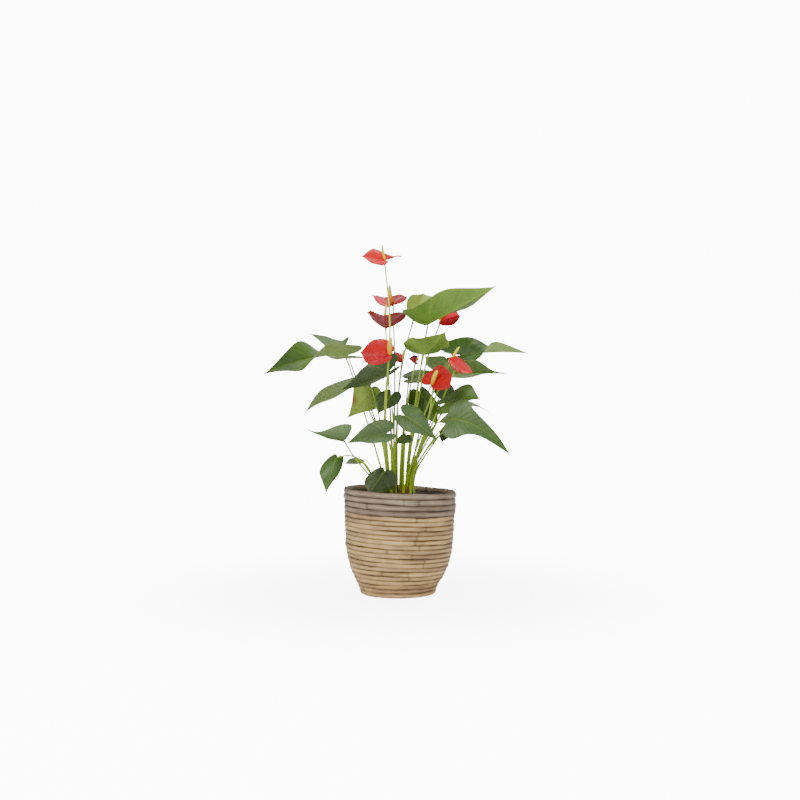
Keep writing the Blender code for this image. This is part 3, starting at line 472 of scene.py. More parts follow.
def cane_material(name, light, mid, dark, hi):
    """Split cane: long streaks along the rod, with painted shade darkening the seams between rods and a painted
    highlight paling the crown.
    """
    k = Nodes(name)
    turn = k.attr("turn")
    rod = k.attr("rod")
    crown = k.attr("crown")
    vec = k.n("ShaderNodeCombineXYZ", inputs={0: turn, 1: rod, 2: k.math("MULTIPLY", crown, 1.0)}).outputs[0]
    long_ = k.n("ShaderNodeTexNoise", inputs={"Vector": k.n("ShaderNodeMapping", inputs={"Vector": vec, "Scale": (7, 5.3, .6)}).outputs[0], "Scale": 1.0, "Detail": 4.0}).outputs["Fac"]
    fibre = k.n("ShaderNodeTexNoise", inputs={"Vector": k.n("ShaderNodeMapping", inputs={"Vector": vec, "Scale": (26, 9.7, 14)}).outputs[0], "Scale": 1.0, "Detail": 5.0, "Roughness": .62}).outputs["Fac"]
    grain = k.n("ShaderNodeTexNoise", inputs={"Vector": k.n("ShaderNodeMapping", inputs={"Vector": vec, "Scale": (90, 17, 40)}).outputs[0], "Scale": 1.0, "Detail": 3.0}).outputs["Fac"]
    color = k.mix(k.ramp(long_, .40, .60), mid, light)
    color = k.mix(k.math("MULTIPLY", k.ramp(fibre, .50, .66), .75), color, dark)
    color = k.mix(k.math("MULTIPLY", k.ramp(fibre, .42, .28), .5), color, hi)
    color = k.scaled(color, k.ramp(grain, .3, .7, .90, 1.08))
    worn = k.math("MULTIPLY", k.ramp(k.noise(13, 4, stretch=(1, 1, 3.2)), .50, .66), .42)
    color = k.mix(worn, color, dark)
    color = k.scaled(color, k.attr("tone"))
    # darker toward the seams between rods: painted shade
    color = k.scaled(color, k.ramp(crown, .05, .72, .12, 1.04))
    # paler on the crown of each rod: painted highlight
    color = k.mix(k.math("MULTIPLY", k.ramp(crown, .80, 1.0), .28), color, hi)
    knot = k.attr("knot")
    color = k.mix(k.math("MULTIPLY", knot, .5), color, k.scaled(dark_socket(k, dark), .6))
    height = k.math("ADD", k.math("MULTIPLY", fibre, .7), k.math("MULTIPLY", grain, .5))
    return k.out(color, k.ramp(fibre, .3, .7, .42, .62), k.bump(height, .5, .0005))


def dark_socket(k, color):
    return k.n("ShaderNodeRGB").outputs[0] if color is None else k.mix(0.0, color, color)


def soil_material():
    k = Nodes("potting_soil")
    a, b = k.noise(260, 4), k.noise(900, 3)
    color = k.mix(k.ramp(a, .35, .65), lin((38, 30, 24)), lin((84, 66, 50)))
    color = k.mix(k.math("MULTIPLY", k.ramp(b, .62, .72), .7), color, lin((140, 118, 92)))
    return k.out(color, k.ramp(a, .3, .7, .75, .95), k.bump(k.math("ADD", a, k.math("MULTIPLY", b, .4)), .9, .0014))


def pot_material():
    k = Nodes("nursery_pot_brown")
    a = k.noise(900, 2)
    color = k.mix(k.ramp(k.noise(30, 3), .3, .7), lin((52, 38, 32)), lin((70, 52, 44)))
    return k.out(color, k.ramp(a, .3, .7, .38, .52), k.bump(a, .25, .0002))


def sheath_material():
    k = Nodes("dry_sheath")
    s = k.noise(1.0, 4, vec=k.n("ShaderNodeTexCoord").outputs["Object"], stretch=(700, 700, 60))
    color = k.mix(k.ramp(s, .35, .65), lin((96, 52, 30)), lin((168, 104, 62)))
    color = k.mix(k.ramp(k.attr("along"), .6, 1.0, 0.0, .6), color, lin((190, 168, 110)))
    return k.out(color, k.ramp(s, .3, .7, .5, .75), k.bump(s, .7, .0004))


LEAF_UP = blade_material("leaf_upper", "up", .40, .22, .08)
LEAF_LOW = blade_material("leaf_under", "low", .52, .34, .0)
SPATHE_UP = spathe_material("spathe_upper", "up", .12, .35)
SPATHE_LOW = spathe_material("spathe_under", "low", 0.0, .15)
STEM = stem_material("stem_skin")
SPADIX = spadix_material("spadix_beads")
CANE = cane_material("cane_tan_weave", lin((214, 180, 130), 1.2, 1.06), lin((180, 148, 108), 1.15, .95), lin((112, 80, 50), 1.15, .75), lin((238, 210, 172), 1.1, 1.05))
BAND = cane_material("cane_band_weave", lin((172, 152, 130), 1.15, .95), lin((144, 124, 104), 1.15, .90), lin((84, 64, 48), 1.15, .7), lin((204, 186, 162), 1.1, 1.0))
SOIL = soil_material()
POT = pot_material()
SHEATH = sheath_material()


# ---------------------------------------------------------------- mesh building

def build(name, verts, faces, mats, face_mat=None, attrs=None, colors=None, smooth=60):
    mesh = bpy.data.meshes.new(name)
    mesh.from_pydata([tuple(map(float, v)) for v in verts], [], faces)
    for m in mats:
        mesh.materials.append(m)
    if face_mat is not None:
        mesh.polygons.foreach_set("material_index", np.asarray(face_mat, np.int32))
    for key, val in (attrs or {}).items():
        a = mesh.attributes.new(key, "FLOAT", "POINT")
        a.data.foreach_set("value", np.asarray(val, np.float32))
    for key, val in (colors or {}).items():
        a = mesh.attributes.new(key, "FLOAT_COLOR", "POINT")
        val = np.asarray(val, np.float32)
        a.data.foreach_set("color", np.c_[val, np.ones(len(val), np.float32)].ravel())
    mesh.polygons.foreach_set("use_smooth", np.ones(len(mesh.polygons), bool))
    mesh.update()
    mesh.set_sharp_from_angle(angle=math.radians(smooth))
    ob = bpy.data.objects.new(name, mesh)
    bpy.context.scene.collection.objects.link(ob)
    return ob


def placed(ob, slot, *nodes):
    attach(ob, "root")
    if nodes:
        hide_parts(*nodes)
    return ob


class Bag:
    """Collects several surfaces into one mesh, with their attributes."""

    def __init__(self):
        self.v, self.f, self.m, self.a, self.c, self.n = [], [], [], {}, {}, 0

    def add(self, verts, faces, mat, attrs=None, colors=None):
        k = len(verts)
        self.v.append(np.asarray(verts, float))
        self.f += [tuple(int(i) + self.n for i in f) for f in faces]
        self.m += [mat] * len(faces) if np.isscalar(mat) else list(mat)
        for store, given, width in ((self.a, attrs or {}, 1), (self.c, colors or {}, 3)):
            for key, val in given.items():
                if key not in store:
                    store[key] = [np.zeros((self.n, width)) if width > 1 else np.zeros(self.n)] if self.n else []
                val = np.asarray(val, float)
                store[key].append(np.broadcast_to(val, (k, width) if width > 1 else (k,)).copy())
            for key in store:
                if key not in given:
                    store[key].append(np.zeros((k, width)) if width > 1 else np.zeros(k))
        self.n += k

    def object(self, name, mats, smooth=60):
        return build(name, np.vstack(self.v), self.f, mats, self.m, {k: np.concatenate(v) for k, v in self.a.items()}, {k: np.vstack(v) for k, v in self.c.items()}, smooth)


def frames(path):
    """A steady pair of side directions along a path."""
    t = unit(np.gradient(path, axis=0))
    ref = np.array([0, -1, 0]) if abs(t[0][1]) < .9 else np.array([1, 0, 0])
    a = [unit(np.cross(t[0], ref))]
    for i in range(1, len(t)):
        p = a[-1] - t[i] * (a[-1] @ t[i])
        a.append(unit(p))
    a = np.array(a)
    return a, np.cross(t, a)


def tube_mesh(path, radii, sides=14, oval=1.0):
    a, b = frames(path)
    th = np.linspace(0, 2 * math.pi, sides, endpoint=False)
    ring = np.cos(th)[None, :, None] * a[:, None] + np.sin(th)[None, :, None] * b[:, None] * oval
    v = path[:, None] + ring * np.asarray(radii)[:, None, None]
    n = len(path)
    v = np.vstack([v.reshape(-1, 3), path[0], path[-1]])
    f = [(i * sides + j, i * sides + (j + 1) % sides, (i + 1) * sides + (j + 1) % sides, (i + 1) * sides + j) for i in range(n - 1) for j in range(sides)]
    f += [(n * sides, (j + 1) % sides, j) for j in range(sides)]
    f += [(n * sides + 1, (n - 1) * sides + j, (n - 1) * sides + (j + 1) % sides) for j in range(sides)]
    along = np.r_[np.repeat(np.linspace(0, 1, n), sides), 0, 1]
    return v, f, along


def vein_phase(x, y, form_half, count=7.0):
    """Side veins leave the midrib at a steady slant, and those of the back lobes fan out from the stem's end."""
    lean = .62
    u0 = x - lean * np.abs(y) - .9 * y * y / (form_half * 2)
    theta = np.arctan2(np.abs(y), x)
    split = math.atan2(1, lean)
    return np.where(u0 > 0, u0 * count * 1.35, -(np.maximum(theta - split, 0)) * count * .52)


def blade_mesh(spec, form, thick, columns, rows, inner=.006, quilt=.0, margin=0.0):
    """The blade as a thin closed body: its points, faces, face sides (0 upper, 1 under) and coordinates."""
    edge, yl, yr = outline(spec, form, columns)
    n = len(edge)
    t = np.linspace(0, 1, rows) ** .9
    share = inner + (1 - inner) * t
    flat = edge[None] * share[:, None, None]
    x, y = flat[..., 0], flat[..., 1].copy()
    left_col = np.arange(n) < (n + 1) // 2
    y = np.where((np.abs(y) < 1e-9) & ~left_col[None], -1e-9, y)
    p, normal, length = blade(spec, x, y, yl, yr, form)
    phase = vein_phase(x, y, yl)
    r = np.abs(y) / np.where(y >= 0, yl, yr)
    # true surface normals, turned to the blade's upper side
    du = np.gradient(p, axis=0)
    dv = np.gradient(p, axis=1)
    nn = np.cross(du, dv)
    nn = nn / (np.linalg.norm(nn, axis=-1, keepdims=True) + 1e-15)
    flip = np.sign((nn * normal).sum(-1))
    if (flip * 1.0).sum() < 0:
        nn = -nn
        turned = True
    else:
        turned = False
    if quilt:
        p = p + nn * (quilt * (np.abs(np.sin(np.pi * phase)) - .5) * np.clip(share * 6, 0, 1)[:, None] * np.clip((1 - share) * 8, 0, 1)[:, None])[..., None]
    edge_thin = np.clip((1.02 - share) * 9, .35, 1)[:, None, None]
    top, low = p + nn * thick / 2 * edge_thin, p - nn * thick / 2 * edge_thin
    R = rows
    idx = np.arange(R * n).reshape(R, n)
    a, b, c, d = idx[:-1, :-1], idx[1:, :-1], idx[1:, 1:], idx[:-1, 1:]
    up = np.stack([a, b, c, d], -1).reshape(-1, 4)
    down = up[:, ::-1] + R * n
    if turned:
        up, down = up[:, ::-1], down[:, ::-1]
    loop = np.concatenate([idx[0, ::-1], idx[1:, 0], idx[-1, 1:], idx[-2:0:-1, -1]])
    # the loop runs round the sheet once; pair it with the underside
    rim = []
    m = len(loop)
    for i in range(m):
        j = (i + 1) % m
        q = (loop[i], loop[j], loop[j] + R * n, loop[i] + R * n)
        rim.append(q if turned else q[::-1])
    faces = up.tolist() + down.tolist() + rim
    mats = [0] * len(up) + [1] * len(down) + [1] * len(rim)
    attrs = {"phase": phase, "rib": np.abs(y) / np.maximum(.35, 1 - x * .55), "reach": np.broadcast_to(share[:, None], x.shape), "lx": x, "ly": y}
    return np.vstack([top.reshape(-1, 3), low.reshape(-1, 3)]), faces, mats, {k: np.tile(np.asarray(v).ravel(), 2) for k, v in attrs.items()}


# ---------------------------------------------------------------- leaves

# colour of the upper side and of the underside; the dark colours of L04, L06, L17 and L26 are their green darkened with
# painted shade
LEAF_LOOK = {
    "L01": ((84, 112, 50), (138, 158, 96)), "L02": ((78, 104, 56), (98, 122, 70)), "L03": ((122, 148, 88), (152, 174, 118)),
    "L04": ((58, 76, 42), (104, 126, 70)), "L05": ((112, 136, 70), (140, 158, 88)), "L06": ((50, 70, 30), (84, 104, 56)),
    "L07": ((116, 136, 96), (150, 164, 130)), "L08": ((84, 104, 68), (110, 128, 92)), "L09": ((74, 98, 58), (104, 126, 84)),
    "L10": ((72, 90, 54), (96, 114, 78)), "L11": ((60, 76, 42), (90, 108, 70)), "L12": ((78, 106, 58), (116, 138, 96)),
    "L13": ((138, 150, 118), (160, 170, 140)), "L14": ((88, 114, 62), (130, 156, 98)), "L15": ((80, 104, 60), (124, 150, 100)),
    "L16": ((116, 136, 100), (150, 166, 136)), "L17": ((40, 54, 24), (58, 74, 38)), "L18": ((74, 98, 38), (116, 138, 78)),
    "L19": ((74, 96, 40), (96, 120, 60)), "L20": ((112, 136, 78), (134, 156, 98)), "L21": ((74, 100, 40), (154, 178, 116)),
    "L22": ((126, 146, 92), (156, 172, 120)), "L23": ((112, 138, 68), (130, 156, 84)), "L24": ((106, 136, 64), (120, 150, 80)),
    "L25": ((152, 170, 88), (162, 180, 100)), "L26": ((60, 74, 46), (96, 112, 74)), "L27": ((112, 130, 82), (150, 166, 124)),
}
STEM_UP = lin((158, 176, 104), 1.4, .95)
STEM_LOW = lin((172, 192, 92), 1.4, .9)


def stem_tint(along, z, base=None):
    """Bright yellow-green low down, greyer green higher up."""
    k = np.clip((z - .22) / .20, 0, 1)[:, None]
    k = k * k * (3 - 2 * k)
    up = np.array(base if base is not None else STEM_UP)
    c = np.array(STEM_LOW) * (1 - k) + up * k
    return c * (1 + .07 * np.sin(along * 9 + z * 31))[:, None]


ends = {n: s["attach"] for n, s in {**LEAVES, **FLOWERS}.items()}
paths = stem_paths(ends)

for n, spec in LEAVES.items():
    up, low = (np.array(lin(c, 1.22, .90)) for c in LEAF_LOOK[n])
    size = np.linalg.norm(np.subtract(spec["tip"], spec["attach"]))
    columns = int((26 + size * .16) * DETAIL)
    rows = int((14 + size * .10) * DETAIL)
    form = spec.get("form", "leaf")
    v, f, m, at = blade_mesh(spec, form, .0007, columns, rows, quilt=.00045)
    x, y = at.pop("lx"), at.pop("ly")
    cu = np.broadcast_to(up, (len(v), 3)).copy()
    cl = np.broadcast_to(low, (len(v), 3)).copy()
    wob = np.sin(x * 7 + y * 11 + len(n) + size) * .05
    cu *= (1 + wob)[:, None]
    cl *= (1 - wob)[:, None]
    if n == "L01":
        k = np.clip((x - .45) / .25, 0, 1)[:, None]
        cu = cu * (1 - k) + np.array(lin((62, 84, 40))) * k
    # L21's upper side: painted shade on its dark base, fading into a painted sheen on the pale tip half
    if n == "L21":
        k = np.clip((x - .30) / .25, 0, 1)[:, None]
        cu = np.array(lin((66, 90, 36))) * (1 - k) + np.array(lin((150, 174, 112))) * k
    if n in ("L24", "L25", "L23"):
        k = (np.clip((at["reach"] - .93) / .07, 0, 1) ** 2)[:, None] * .6
        cu = cu * (1 - k) + np.array(lin((198, 206, 140))) * k
        cl = cl * (1 - k) + np.array(lin((198, 206, 140))) * k
    if n == "L05":
        d = np.hypot(x - .62, y - .22)
        k = (np.clip((.17 - d) / .08, 0, 1) * (.7 + .3 * np.sin(x * 90)))[:, None]
        for c in (cu, cl):
            c[:] = c * (1 - k) + np.array(lin((128, 70, 40))) * k
    bag = Bag()
    bag.add(v, f, m, at, {"up": cu, "low": cl})
    path = smooth_path(paths[n], 34)
    path[0, 2] -= .004
    s = np.linspace(0, 1, len(path))
    # a little thicker at the soil and at the joint just under the blade
    rad = .0022 + (.00135 - .0022) * s + .0005 * np.exp(-((s - .955) / .03) ** 2) + .0006 * np.exp(-(s / .05) ** 2)
    pv, pf, al = tube_mesh(path, rad, 12)
    bag.add(pv, pf, 2, {"along": al, "phase": 0, "rib": 1, "reach": 0}, {"tint": stem_tint(al, pv[:, 2])})
    ob = bag.object("leaf_%s_look" % n[1:], [LEAF_UP, LEAF_LOW, STEM])
    placed(ob, "leaf_light_green" if n in ("L01", "L03", "L05", "L23", "L24", "L25") else "leaf_green", "leaf_" + n[1:])

# ---------------------------------------------------------------- flowers

# upper side, underside, then the spadix's colours from its foot to its tip, its fattest radius in mm
FLOWER_LOOK = {
    "F1": ((222, 52, 66), (206, 44, 60), [(232, 200, 100), (242, 220, 120), (248, 232, 150)], 2.6),
    "F2": ((190, 40, 56), (170, 30, 44), [(96, 58, 34), (206, 140, 60), (238, 200, 130), (244, 226, 178)], 3.6),
    "F3": ((196, 30, 40), (158, 14, 20), [(200, 140, 60), (226, 178, 90), (236, 200, 120)], 3.0),
    "F4": ((196, 24, 36), (190, 56, 68), [(238, 140, 34), (250, 172, 50), (252, 196, 84)], 4.8),
    "F5": ((196, 60, 66), (176, 56, 62), [(226, 170, 80), (240, 200, 120)], 2.2),
    "F6": ((176, 70, 76), (150, 56, 62), [(200, 150, 80), (226, 180, 100)], 1.8),
    "F7": ((178, 20, 28), (158, 22, 28), [(238, 146, 34), (250, 180, 46), (252, 206, 96)], 4.2),
    "F8": ((204, 18, 28), (178, 18, 28), [(222, 190, 100), (236, 212, 130)], 2.4),
    "F9": ((214, 54, 70), (190, 50, 66), [(226, 180, 90), (238, 206, 130)], 2.6),
}


def spadix_mesh(a, t, fat, colors, start):
    """A tapering spike covered in small beads set in crossing spirals."""
    d = unit(t - a)
    a = a + d * start
    length = np.linalg.norm(t - a)
    n, sides = int(70 * DETAIL) + 20, 40
    u = np.linspace(0, 1, n)
    bend = unit(np.cross(d, [0, 1, 0]))
    path = a + d * (length * u)[:, None] + bend * (.035 * length * np.sin(math.pi * u))[:, None]
    body = np.interp(u, [0, .04, .12, .35, .6, .85, .95, .985, 1], [.50, .72, .88, 1.0, .97, .80, .62, .40, .10])
    fa, fb = frames(path)
    th = np.linspace(0, 2 * math.pi, sides, endpoint=False)
    turns = 9
    rows = length / (fat * 2 * math.pi / turns) * .9
    bead = .5 + .25 * np.cos(turns * th[None] + rows * 2 * math.pi * u[:, None]) + .25 * np.cos(turns * th[None] - rows * 2 * math.pi * u[:, None])
    rad = fat * body[:, None] * (.93 + .09 * bead)
    ring = np.cos(th)[None, :, None] * fa[:, None] + np.sin(th)[None, :, None] * fb[:, None]
    v = (path[:, None] + ring * rad[..., None]).reshape(-1, 3)
    v = np.vstack([v, path[0], path[-1] + d * fat * .05])
    f = [(i * sides + j, i * sides + (j + 1) % sides, (i + 1) * sides + (j + 1) % sides, (i + 1) * sides + j) for i in range(n - 1) for j in range(sides)]
    f += [(n * sides, (j + 1) % sides, j) for j in range(sides)]
    f += [(n * sides + 1, (n - 1) * sides + j, (n - 1) * sides + (j + 1) % sides) for j in range(sides)]
    c = np.array([lin(q, 1.5, 1.6) for q in colors])
    k = np.linspace(0, 1, len(c))
    uu = np.r_[np.repeat(u, sides), 0, 1]
    tint = np.stack([np.interp(uu, k, c[:, j]) for j in range(3)], -1)
    return v, f, {"bead": np.r_[bead.ravel(), .5, .5], "along": uu}, {"tint": tint}


for n, spec in FLOWERS.items():
    k = n[1:]
    upc, lowc, spc, fat = FLOWER_LOOK[n]
    up, low = (np.array(lin(c, 1.4, .85)) * (1, 1, 1.7) for c in (upc, lowc))
    size = np.linalg.norm(np.subtract(spec["tip"], spec["attach"]))
    v, f, m, at = blade_mesh(spec, "spathe", .0008, int(44 * DETAIL), int(20 * DETAIL), inner=.01, quilt=.00001 * size)
    x, y = at.pop("lx"), at.pop("ly")
    cu = np.broadcast_to(up, (len(v), 3)).copy()
    cl = np.broadcast_to(low, (len(v), 3)).copy()
    if n == "F4":
        q = np.clip(y * 3 + .5, 0, 1)[:, None]
        cu = cu * (1 - q) + np.array(lin((208, 62, 74))) * q
        cl = cl * (1 - q) + np.array(lin((206, 70, 80))) * q
    if n == "F2":
        q = np.clip(y * 2.4 + .5, 0, 1)[:, None]
        cu = np.array(lin((150, 24, 36))) * (1 - q) + np.array(lin((206, 66, 80))) * q
    if n == "F6":
        q = (np.clip((-y - .15) / .2, 0, 1))[:, None]
        cu = cu * (1 - q) + np.array(lin((60, 34, 26))) * q
    # on F1 the pink rim is partly its own pink edge and partly a painted highlight on its folds
    if n in ("F3", "F1"):
        q = (np.clip((at["reach"] - .86) / .14, 0, 1) ** 1.5)[:, None] * (.7 if n == "F3" else .35)
        edge = np.array(lin((196, 140, 84) if n == "F3" else (240, 120, 132)))
        cu = cu * (1 - q) + edge * q
        cl = cl * (1 - q) + edge * q
    bag = Bag()
    bag.add(v, f, m, at, {"up": cu, "low": cl})
    placed(bag.object("flower_%s_spathe_look" % k, [SPATHE_UP, SPATHE_LOW]), "spathe_red", "flower_%s_spathe" % k)

    axis = axis_at(spec, "spathe")
    a = np.array(spec["attach"]) * MM
    t = np.array(spec["spadix"]) * MM
    v, f, at, co = spadix_mesh(a, t, fat * MM, spc, .0002)
    bag = Bag()
    bag.add(v, f, 0, at, co)
    placed(bag.object("flower_%s_spadix_look" % k, [SPADIX], 80), "spadix_yellow", "flower_%s_spadix" % k)

    path = np.vstack([smooth_path(paths[n], 36), a])
    path = smooth_path(path, 40)
    path[0, 2] -= .004
    s = np.linspace(0, 1, len(path))
    rad = .0022 + (.0015 - .0022) * s + .0006 * np.exp(-((s - 1) / .025) ** 2) + .0006 * np.exp(-(s / .05) ** 2)
    v, f, al = tube_mesh(path, rad, 14)
    tint = stem_tint(al, v[:, 2], lin((206, 212, 120), 1.5, 1.0) if n == "F1" else None)
    blush = (np.clip((al - .965) / .035, 0, 1) * .7)[:, None]
    tint = tint * (1 - blush) + low * blush
    bag = Bag()
    bag.add(v, f, 0, {"along": al}, {"tint": tint})
    placed(bag.object("flower_%s_stem_look" % k, [STEM]), "stem_green", "flower_%s_stem" % k)

# ---------------------------------------------------------------- basket

SIDES = 220


def basket_radius(z):
    zs, rs = zip(*BASKET_PROFILE)
    return np.interp(np.asarray(z) / MM, zs, rs) * MM


def lean(v):
    k = np.clip((v[..., 2] - .010) / .060, 0, 1)
    z = v[..., 2].copy()
    v[..., 2] -= TILT * v[..., 0] * k * k * (3 - 2 * k)
    v[..., 0] += LEAN * z
    return v


# where a rod's two ends meet, as the x of the joint on the front (mm), and small dark knots
JOINTS = {1: (35, 1), 2: (-62, 1), 4: (32, 1), 5: (-20, -1), 6: (50, 1), 7: (36, 1), 8: (33, 1), 9: (29, 1), 10: (38, 1), 11: (-22, 1), 12: (24, 1), 13: (48, 1), 14: (46, 1), 15: (10, -1), 16: (-30, 1), 17: (20, 1)}


def cane_rod(name, z0, z1, mat, slot, node, index, deep):
    """One cane rod bent into a ring, its two ends butted together, flattened a little by its neighbours."""
    zc, h = (z0 + z1) / 2, (z1 - z0) / 2 * .995
    jx, side = JOINTS.get(index, (float(rng.uniform(-70, 70)), int(rng.choice([-1, 1]))))
    r0 = float(basket_radius(zc))
    jx = max(-.95 * r0, min(.95 * r0, jx * MM))
    joint = math.atan2(-side * math.sqrt(max(r0 * r0 - jx * jx, 0)), jx)
    gap = .0004 / r0
    m = SIDES
    th = joint + gap / 2 + np.linspace(0, 2 * math.pi - gap, m)
    q = 16
    c = np.linspace(0, 2 * math.pi, q, endpoint=False)
    # slow changes in the rod's girth and its place
    a1, a2, a3 = rng.uniform(0, 6.28, 3)
    girth = 1 + .06 * np.sin(th * 3 + a1) + .05 * np.sin(th * 7 + a2) + .03 * np.sin(th * 17 + a3)
    drift = .0004 * np.sin(th * 2 + a3) + .0003 * np.sin(th * 5 + a1) + .00015 * np.sin(th * 13 + a2)
    bow = np.cos(c)
    rise = np.sin(c)
    depth = BASKET_WALL / 2 * deep
    out = bow * depth
    up = rise * h * 1.10
    taper = np.clip((np.minimum(np.arange(m), m - 1 - np.arange(m)) + .6) / 1.6, 0, 1)
    taper = .95 + .05 * taper
    z = zc + up[None] * girth[:, None] * taper[:, None] + drift[:, None] * .9
    surface = basket_radius(np.clip(z, 0, BASKET_TOP))
    mid = surface - depth
    rad = mid + out[None] * girth[:, None] * taper[:, None] + drift[:, None]
    rad = np.minimum(rad, surface + .0004)
    z = np.clip(z, 0.0, None)
    v = np.stack([rad * np.cos(th)[:, None], rad * np.sin(th)[:, None], z], -1)
    v = lean(v)
    crown = np.broadcast_to(np.clip(1 - np.abs(rise), 0, 1) ** .6, (m, q))
    turn = np.broadcast_to((th / (2 * math.pi))[:, None], (m, q))
    knot = np.zeros((m, q))
    for _ in range(2):
        t0 = rng.uniform(0, 2 * math.pi)
        d = np.abs((th - t0 + math.pi) % (2 * math.pi) - math.pi)
        knot = np.maximum(knot, (np.clip(1 - d / .012, 0, 1) * .8)[:, None])
    end = np.clip(1 - np.minimum(np.arange(m), m - 1 - np.arange(m)) / 1.2, 0, 1)[:, None]
    knot = np.maximum(knot, end)
    f = [(i * q + j, (i + 1) * q + j, (i + 1) * q + (j + 1) % q, i * q + (j + 1) % q) for i in range(m - 1) for j in range(q)]
    f.append(tuple(range(q)))
    f.append(tuple(((m - 1) * q + j) for j in reversed(range(q))))
    ob = build(name, v.reshape(-1, 3), f, [mat], None, {"turn": turn.ravel(), "rod": np.full(m * q, index * 1.37), "crown": crown.ravel(), "knot": knot.ravel(), "tone": np.full(m * q, (1.06, .98, .84, .74)[index] if index < BAND_RODS else rng.uniform(.84, 1.12))}, None, 70)
    return placed(ob, slot, node)


band_bottom = BASKET_TOP - BAND_RODS * BAND_PITCH
rods = int(round(band_bottom / ROD_PITCH))
pitch = band_bottom / rods
for i in range(rods):
    cane_rod("cane_rod_%02d" % (i + 1), band_bottom - (i + 1) * pitch, band_bottom - i * pitch, CANE, "cane_tan", "basket_wall", i + 4, 1.0)
for i in range(BAND_RODS):
    top = BASKET_TOP - i * BAND_PITCH
    cane_rod("cane_band_%d" % (i + 1), top - BAND_PITCH, top, BAND, "cane_grey_brown", "basket_rim_band", i, 1.05)

# floor: one cane rod wound in a flat spiral
turns = 9
r_out = float(basket_radius(0)) - BASKET_WALL - .0036
pitch_r = r_out / turns
th = np.linspace(math.pi * .8, turns * 2 * math.pi, 900)
path = np.stack([th / (2 * math.pi) * pitch_r * np.cos(th), th / (2 * math.pi) * pitch_r * np.sin(th), np.full_like(th, .003)], -1)
v, f, al = tube_mesh(path, np.full(len(path), 1.0), 10)
core = np.vstack([np.repeat(path, 10, axis=0), path[0], path[-1]])
off = v - core
hor = off[:, :2] * pitch_r * .50
v = core + np.c_[hor, off[:, 2] * .0030]
ob = build("basket_floor_coil", v, f, [CANE], None, {"turn": al * 30, "rod": np.zeros(len(v)), "crown": np.clip(np.abs(off[:, 2]) + .2, 0, 1), "knot": np.zeros(len(v)), "tone": np.ones(len(v))}, None, 70)
placed(ob, "cane_tan", "basket_floor")


def lathe(name, profile, mat, slot, node, sides=96, jitter=None):
    prof = np.array(profile)
    th = np.linspace(0, 2 * math.pi, sides, endpoint=False)
    v = np.stack([prof[:, 0][:, None] * np.cos(th), prof[:, 0][:, None] * np.sin(th), np.broadcast_to(prof[:, 1][:, None], (len(prof), sides))], -1)
    if jitter is not None:
        v = jitter(v, th)
    v[..., 0] += LEAN * v[..., 2]
    f = [(i * sides + j, (i + 1) * sides + j, (i + 1) * sides + (j + 1) % sides, i * sides + (j + 1) % sides) for i in range(len(prof) - 1) for j in range(sides)]
    f.append(tuple(range(sides)))
    f.append(tuple((len(prof) - 1) * sides + j for j in reversed(range(sides))))
    ob = build(name, v.reshape(-1, 3), f, [mat], None, None, None, 50)
    return placed(ob, slot, node)


w = POT_WALL
lathe("nursery_pot", [(.0005, POT_FOOT + w), (POT_FOOT_R - w, POT_FOOT + w), (POT_TOP_R - w - .0004, POT_TOP - .0006), (POT_TOP_R - w + .0004, POT_TOP), (POT_TOP_R + .0022, POT_TOP),
                      (POT_TOP_R + .003, POT_TOP - .0008), (POT_TOP_R + .003, POT_TOP - .0074), (POT_TOP_R + .0024, POT_TOP - .008), (POT_TOP_R, POT_TOP - .009), (POT_FOOT_R, POT_FOOT + .001),
                      (POT_FOOT_R - .001, POT_FOOT), (.0005, POT_FOOT)], POT, "pot_brown_plastic", "inner_pot")


def rough_top(v, th):
    r = np.hypot(v[..., 0], v[..., 1])
    n = np.sin(v[..., 0] * 310 + 1.3) * np.sin(v[..., 1] * 270 + .4) + .6 * np.sin(v[..., 0] * 820 + 2) * np.sin(v[..., 1] * 760 + 1) + .4 * np.sin(v[..., 0] * 1900) * np.sin(v[..., 1] * 2100)
    top = v[..., 2] > SOIL_Z - .002
    v[..., 2] += np.where(top & (r < .088), n * .0009, 0)
    return v


slope = (POT_TOP_R - POT_FOOT_R) / (POT_TOP - POT_FOOT)
low = POT_FOOT + w + .0004
edge_r = POT_FOOT_R - w - .0004 + slope * (SOIL_Z - low)
top = [(r, SOIL_Z + SOIL_DOME * math.exp(-r * r / .045 ** 2)) for r in np.linspace(edge_r, .0006, 60)]
lathe("soil_mound", [(.0006, low), (POT_FOOT_R - w - .0004, low)] + top, SOIL, "soil", "soil", 160, rough_top)

# crumbs and bark bits on the soil
bag = Bag()
ico = [(0, 0, 1), (.894, 0, .447), (.276, .851, .447), (-.724, .526, .447), (-.724, -.526, .447), (.276, -.851, .447), (.724, .526, -.447), (-.276, .851, -.447), (-.894, 0, -.447), (-.276, -.851, -.447), (.724, -.526, -.447), (0, 0, -1)]
ico_f = [(0, 1, 2), (0, 2, 3), (0, 3, 4), (0, 4, 5), (0, 5, 1), (1, 6, 2), (2, 7, 3), (3, 8, 4), (4, 9, 5), (5, 10, 1), (2, 6, 7), (3, 7, 8), (4, 8, 9), (5, 9, 10), (1, 10, 6), (11, 7, 6), (11, 8, 7), (11, 9, 8), (11, 10, 9), (11, 6, 10)]
for _ in range(int(520 * DETAIL)):
    r, a = .086 * math.sqrt(rng.uniform(0, 1)), rng.uniform(0, 6.28)
    s = rng.uniform(.0008, .0024)
    p = np.array(ico) * rng.uniform(.7, 1.3, (12, 1)) * s * rng.uniform(.6, 1.4, 3)
    c = np.array([r * math.cos(a), r * math.sin(a), soil_height(r * math.cos(a), r * math.sin(a)) + s * .25])
    bag.add(p + c, ico_f, 0)
placed(bag.object("soil_crumbs", [SOIL], 30), "soil")

